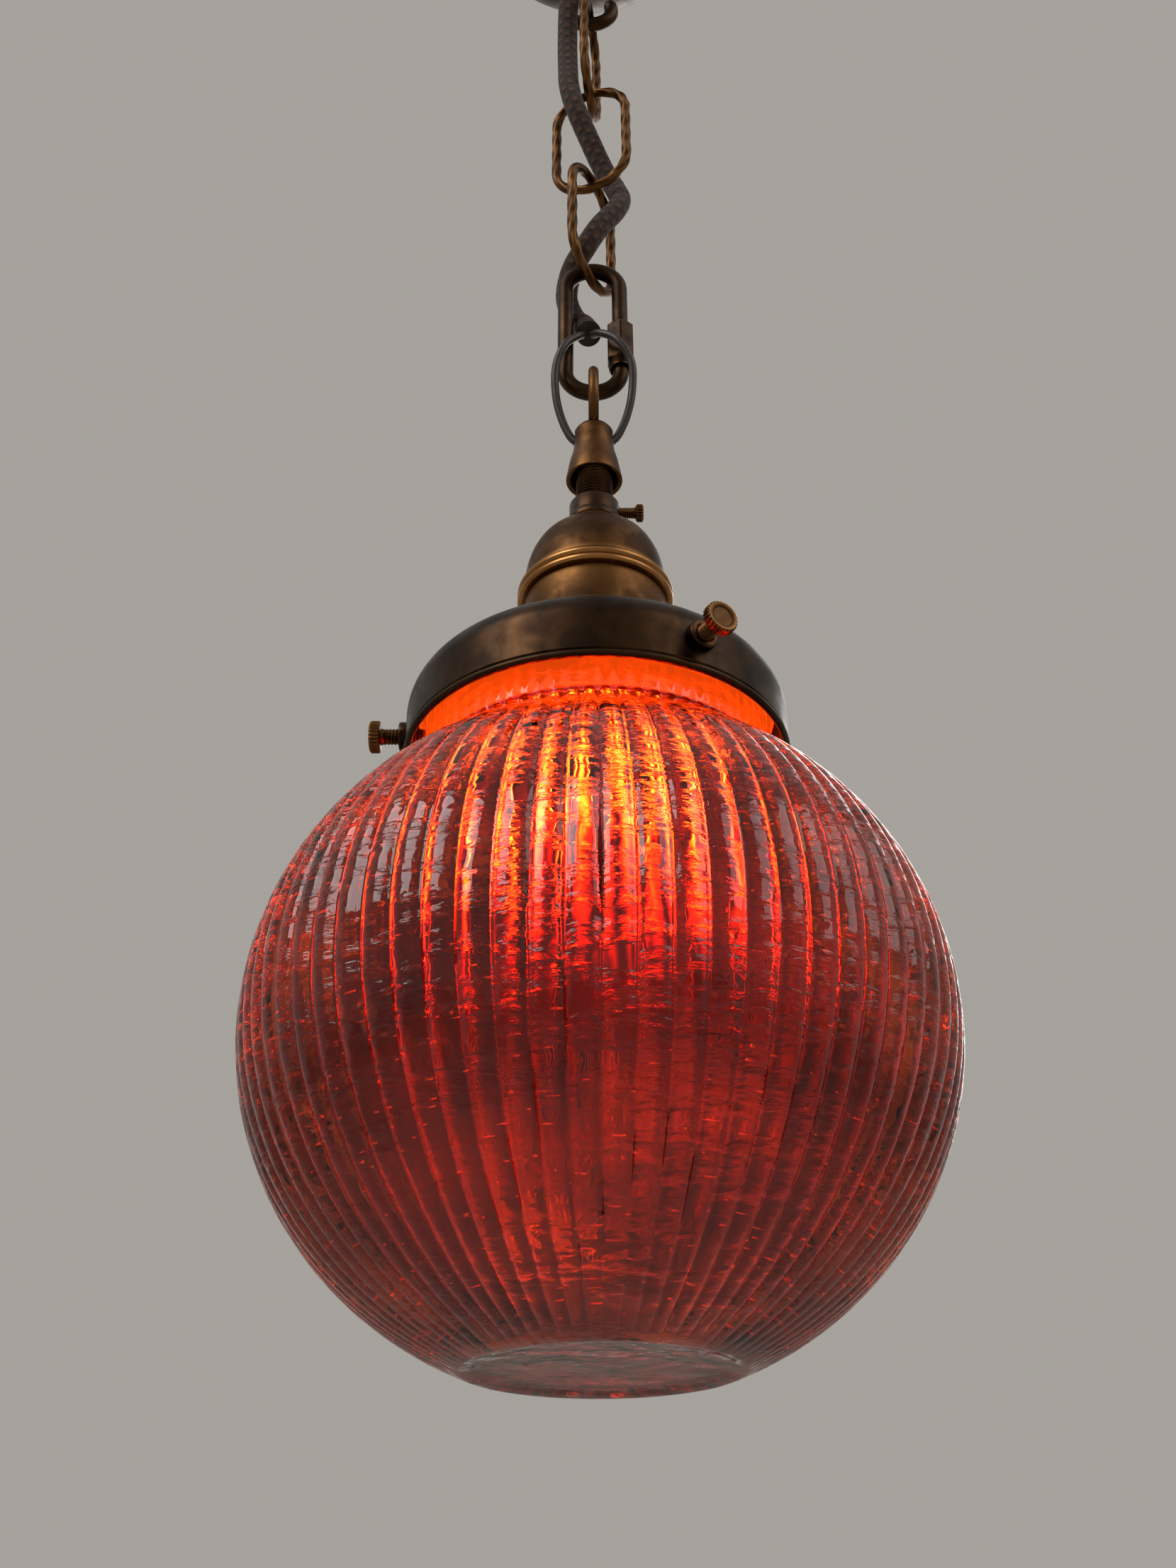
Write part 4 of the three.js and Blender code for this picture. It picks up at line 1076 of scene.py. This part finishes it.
class PENDANT_OT_gallery(PendantOperator, bpy.types.Operator):
    """Spun brass gallery with its three screw bosses and knurled thumbscrews"""
    bl_idname = "pendant.gallery"
    bl_label = "Gallery"

    def execute(self, context):
        look = settings("brass")
        low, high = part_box("gallery")
        rim, wall, shoulder = high.x, 1.3 * MM, 10 * MM
        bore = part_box("lampholder_cap")[1].x + 0.4 * MM
        inner = rim - wall
        roll = arc((rim - 0.55 * MM, low.z + 0.9 * MM), 0.9 * MM, -90, 80, 10)
        roll = [(min(r, rim + 0.35 * MM), z) for r, z in roll]
        over = arc((rim - shoulder, high.z - shoulder), shoulder, 0, 90, 24)
        under = arc((rim - shoulder, high.z - shoulder), shoulder - wall, 90, 0, 24)
        profile = [(inner, low.z + 0.4 * MM), (inner + 0.4 * MM, low.z), *roll,
                   (rim, low.z + 2.2 * MM), *over,
                   (rim - shoulder - 4 * MM, high.z), (rim - shoulder - 5 * MM, high.z - 0.25 * MM),
                   (bore, high.z - 0.25 * MM), (bore, high.z - wall), *under]
        gallery = turned("spun_gallery", profile, "dark_brass", 192)
        first_low, first_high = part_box("gallery_screw_1")
        tip, end = -first_high.x, -first_low.x
        head_r = (first_high.z - first_low.z) / 2
        height = (first_high.z + first_low.z) / 2
        boss_r, boss_end = 3.6 * MM, rim + 1.8 * MM
        changes = []
        ways = [(math.cos(math.radians(a)), math.sin(math.radians(a)), 0) for a in SCREW_AZIMUTHS]
        for way in ways:
            block = [(0, inner + 0.2 * MM), (boss_r, inner + 0.2 * MM), (boss_r, boss_end), (0, boss_end)]
            boss = turned("boss", rounded(block, 0.5 * MM), "dark_brass", 48)
            changes.append(("UNION", place(boss, way, (0, 0, height))))
        for way in ways:
            drill = drilled(2.4 * MM, tip - 4 * MM, boss_end + 2 * MM, way, (0, 0, height))
            changes.append(("DIFFERENCE", drill))
        stand_in(applied(gallery, *changes), "gallery")
        for n, way in enumerate(ways):
            screw = PENDANT_OT_neck.screw(
                f"thumbscrew_{n + 1}_knurled", tip, end, 2.6 * MM, head_r, 2 * MM,
                look.fine_thread, look.knurl_teeth)
            stand_in(place(screw, way, (0, 0, height)), f"gallery_screw_{n + 1}")
        return {"FINISHED"}


class PENDANT_OT_globe(PendantOperator, bpy.types.Operator):
    """Ribbed glass globe with its lip, and the air bubbles in its wall"""
    bl_idname = "pendant.globe"
    bl_label = "Globe"

    def execute(self, context):
        look = settings("globe")
        low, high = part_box("globe")
        radius, tall, middle, neck_r, flare_z = globe_shape()
        lip_r = neck_r + 2 * MM
        base_angle = -math.degrees(math.acos(look.base_radius / radius))
        neck_angle = math.degrees(math.acos(neck_r / radius))
        in_r, in_tall = radius - look.wall, tall - look.wall
        neck_in = neck_r - look.wall
        lip_low = high.z - 3.5 * MM
        outer = arc((0, middle), (radius, tall), base_angle, neck_angle - 1.0, 96)
        ribs_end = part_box("gallery")[0].z - look.bare_neck
        neck = [(neck_r + 0.15 * MM, flare_z + 1.2 * MM), (neck_r, flare_z + 2.4 * MM),
                (neck_r, ribs_end - 0.6 * MM), (neck_r, ribs_end), (neck_r, lip_low),
                (lip_r - 0.3 * MM, lip_low + 0.3 * MM), (lip_r, lip_low + 0.9 * MM),
                (lip_r, high.z - 0.8 * MM), (lip_r - 0.7 * MM, high.z),
                (neck_in + 0.6 * MM, high.z), (neck_in, high.z - 0.6 * MM)]
        inner = arc((0, middle), (in_r, in_tall), math.degrees(math.acos(neck_in / in_r)),
                    -math.degrees(math.acos((look.base_radius - 2 * MM) / in_r)), 72)
        foot = low.z
        disc = look.base_radius
        base_rim = [(disc - 0.8 * MM, foot + 0.05 * MM), (disc - 2.5 * MM, foot + 0.5 * MM)]
        base = [(disc * k / 8, foot + (0.9 + 0.7 * (1 - (k / 8) ** 2)) * MM) for k in range(7, -1, -1)]
        inside_base = [(disc * k / 8, foot + (3.4 + 1.0 * (1 - (k / 8) ** 2)) * MM) for k in range(0, 7)]
        profile = [*outer, *neck, *inner, *inside_base[::-1], *base[::-1], *base_rim[::-1]]
        ribs, depth = look.ribs, look.rib_depth

        def shape(angle, r, z):
            outside = abs((r / radius) ** 2 + ((z - middle) / tall) ** 2 - 1) < 0.004
            on_neck = flare_z < z < ribs_end and abs(r - neck_r) < 0.3 * MM
            if not (outside or on_neck) or z > ribs_end:
                return r
            fade = min(1.0, max(0.0, (r - look.base_radius) / (7 * MM)))
            fade *= min(1.0, (ribs_end - z) / (0.8 * MM))
            wander = 0.35 * noise.noise(Vector((math.cos(angle) * 3, math.sin(angle) * 3, z * 18)))
            crown = abs(math.sin(ribs * angle / 2 + wander))
            spread = 0.55 + 0.45 * r / radius
            return r - depth * spread * fade * (1 - crown ** 0.62)

        globe = turned("ribbed_globe", profile, "ribbed_glass", ribs * 12, shape, 60)
        stand_in(globe, "globe")

        dice = random.Random(7)
        vertices, faces = [], []
        work = bmesh.new()
        bmesh.ops.create_icosphere(work, subdivisions=1, radius=1.0)
        ball = [v.co.copy() for v in work.verts]
        facets = [[v.index for v in f.verts] for f in work.faces]
        work.free()
        for _ in range(look.seeds):
            angle = dice.uniform(0, TAU)
            up = math.radians(dice.uniform(base_angle + 4, neck_angle - 3))
            mid_r, mid_tall = radius - 0.56 * look.wall - depth * 0.3, tall - 0.56 * look.wall - depth * 0.3
            spot = Vector((mid_r * math.cos(up) * math.cos(angle), mid_r * math.cos(up) * math.sin(angle),
                           middle + mid_tall * math.sin(up)))
            out = Vector((math.cos(up) * math.cos(angle), math.cos(up) * math.sin(angle), math.sin(up)))
            round_way = Vector((-math.sin(angle), math.cos(angle), 0))
            long_half = look.seed_size * dice.uniform(0.3, 1.0) ** 2 + 0.1 * MM
            short_half = dice.uniform(0.14, 0.3) * MM
            rise = out.cross(round_way)
            start = len(vertices)
            vertices += [spot + round_way * p.x * long_half + rise * p.y * short_half
                         + out * p.z * short_half for p in ball]
            faces += [[start + i for i in f] for f in facets]
        seeds = piece("glass_seeds", vertices, faces, "seed", sharp=180)
        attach(seeds, "lamp")
        return {"FINISHED"}


class PENDANT_OT_bulb(PendantOperator, bpy.types.Operator):
    """Ruby bulb, its rolled screw cap and contact tip"""
    bl_idname = "pendant.bulb"
    bl_label = "Bulb"

    def execute(self, context):
        look = settings("brass")
        low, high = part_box("bulb_glass")
        cap_low, cap_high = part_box("bulb_cap")
        radius, wall = high.y, 0.8 * MM
        neck = 12.4 * MM
        centre = (0, low.z + radius)
        meet = 50
        out = arc(centre, radius, -90, meet, 40)
        x0, z0 = out[-1]
        top = cap_low.z - 3 * MM
        sweep = []
        for k in range(1, 17):
            t = k / 16
            ease = t * t * (3 - 2 * t)
            sweep.append((x0 + (neck - x0) * (0.35 * t + 0.65 * ease), z0 + (top - z0) * t))
        outside = [*out, *sweep, (neck, high.z)]
        inside = [(max(r - wall, 0.0), z + (wall if n == 0 else 0.0)) for n, (r, z) in enumerate(outside)]
        outside[0] = (0.0, outside[0][1])
        inside[0] = (0.0, inside[0][1])
        stand_in(turned("ruby_bulb", [*outside, *inside[::-1]], "ruby_bulb_glass", 96), "bulb_glass")

        cap_r = cap_high.x
        bore = neck + 0.4 * MM
        shoulder = cap_high.z - 5 * MM
        profile = [(bore, cap_low.z), *upright(cap_low.z, shoulder, cap_r, 0.25 * MM),
                   (6 * MM, cap_high.z), (0, cap_high.z), (0, cap_high.z - 0.5 * MM),
                   (5.5 * MM, cap_high.z - 0.5 * MM), (bore, shoulder - 0.5 * MM)]
        cut = thread(look.lamp_thread, 0.75 * MM, cap_low.z + 2 * MM, shoulder, cap_r - 0.2 * MM)
        stand_in(turned("screw_cap", profile, "bulb_steel", 96, cut), "bulb_cap")

        low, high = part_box("bulb_tip")
        profile = [(0, low.z), (high.x, low.z), (high.x - 0.6 * MM, high.z - 0.5 * MM),
                   (high.x - 1.6 * MM, high.z), (0, high.z)]
        stand_in(turned("contact_tip", rounded(profile, 0.3 * MM), "bright_brass", 48), "bulb_tip")
        return {"FINISHED"}


class PENDANT_OT_finishes(PendantOperator, bpy.types.Operator):
    """Gives each part of the frame that stays in view the finish of its slot"""
    bl_idname = "pendant.finishes"
    bl_label = "Finishes"

    def execute(self, context):
        slots = {row["node"]: row["material_slot"] for row in frame["record"]["subparts"]}
        for node, obj in frame["nodes"].items():
            obj.data.materials.clear()
            obj.data.materials.append(material(slots[node]))
        return {"FINISHED"}


class PENDANT_PT_panel(bpy.types.Panel):
    """Lists the lamp's pieces in the sidebar"""
    bl_label = "Globe Pendant Lamp"
    bl_idname = "PENDANT_PT_panel"
    bl_space_type = "VIEW_3D"
    bl_region_type = "UI"
    bl_category = "Pendant"

    def draw(self, context):
        for operator in OPERATORS:
            self.layout.operator(operator.bl_idname)
        for group in GROUPS:
            box = self.layout.box()
            for name in GROUPS[group].__annotations__:
                box.prop(getattr(context.scene, "pendant_" + group), name)


GROUPS = {"globe": PendantGlobe, "brass": PendantBrass, "flex": PendantFlex, "light": PendantLight}
OPERATORS = (
    PENDANT_OT_stage, PENDANT_OT_flex, PENDANT_OT_ceiling, PENDANT_OT_chain, PENDANT_OT_neck,
    PENDANT_OT_lampholder, PENDANT_OT_gallery, PENDANT_OT_globe, PENDANT_OT_bulb, PENDANT_OT_finishes,
)


def register():
    for group, kind in GROUPS.items():
        bpy.utils.register_class(kind)
        setattr(bpy.types.Scene, "pendant_" + group, bpy.props.PointerProperty(type=kind))
    for operator in OPERATORS:
        bpy.utils.register_class(operator)
    bpy.utils.register_class(PENDANT_PT_panel)


def unregister():
    bpy.utils.unregister_class(PENDANT_PT_panel)
    for operator in reversed(OPERATORS):
        bpy.utils.unregister_class(operator)
    for group, kind in GROUPS.items():
        delattr(bpy.types.Scene, "pendant_" + group)
        bpy.utils.unregister_class(kind)


def main():
    register()
    for operator in OPERATORS:
        module, name = operator.bl_idname.split(".")
        getattr(getattr(bpy.ops, module), name)()


if __name__ == "__main__":
    main()
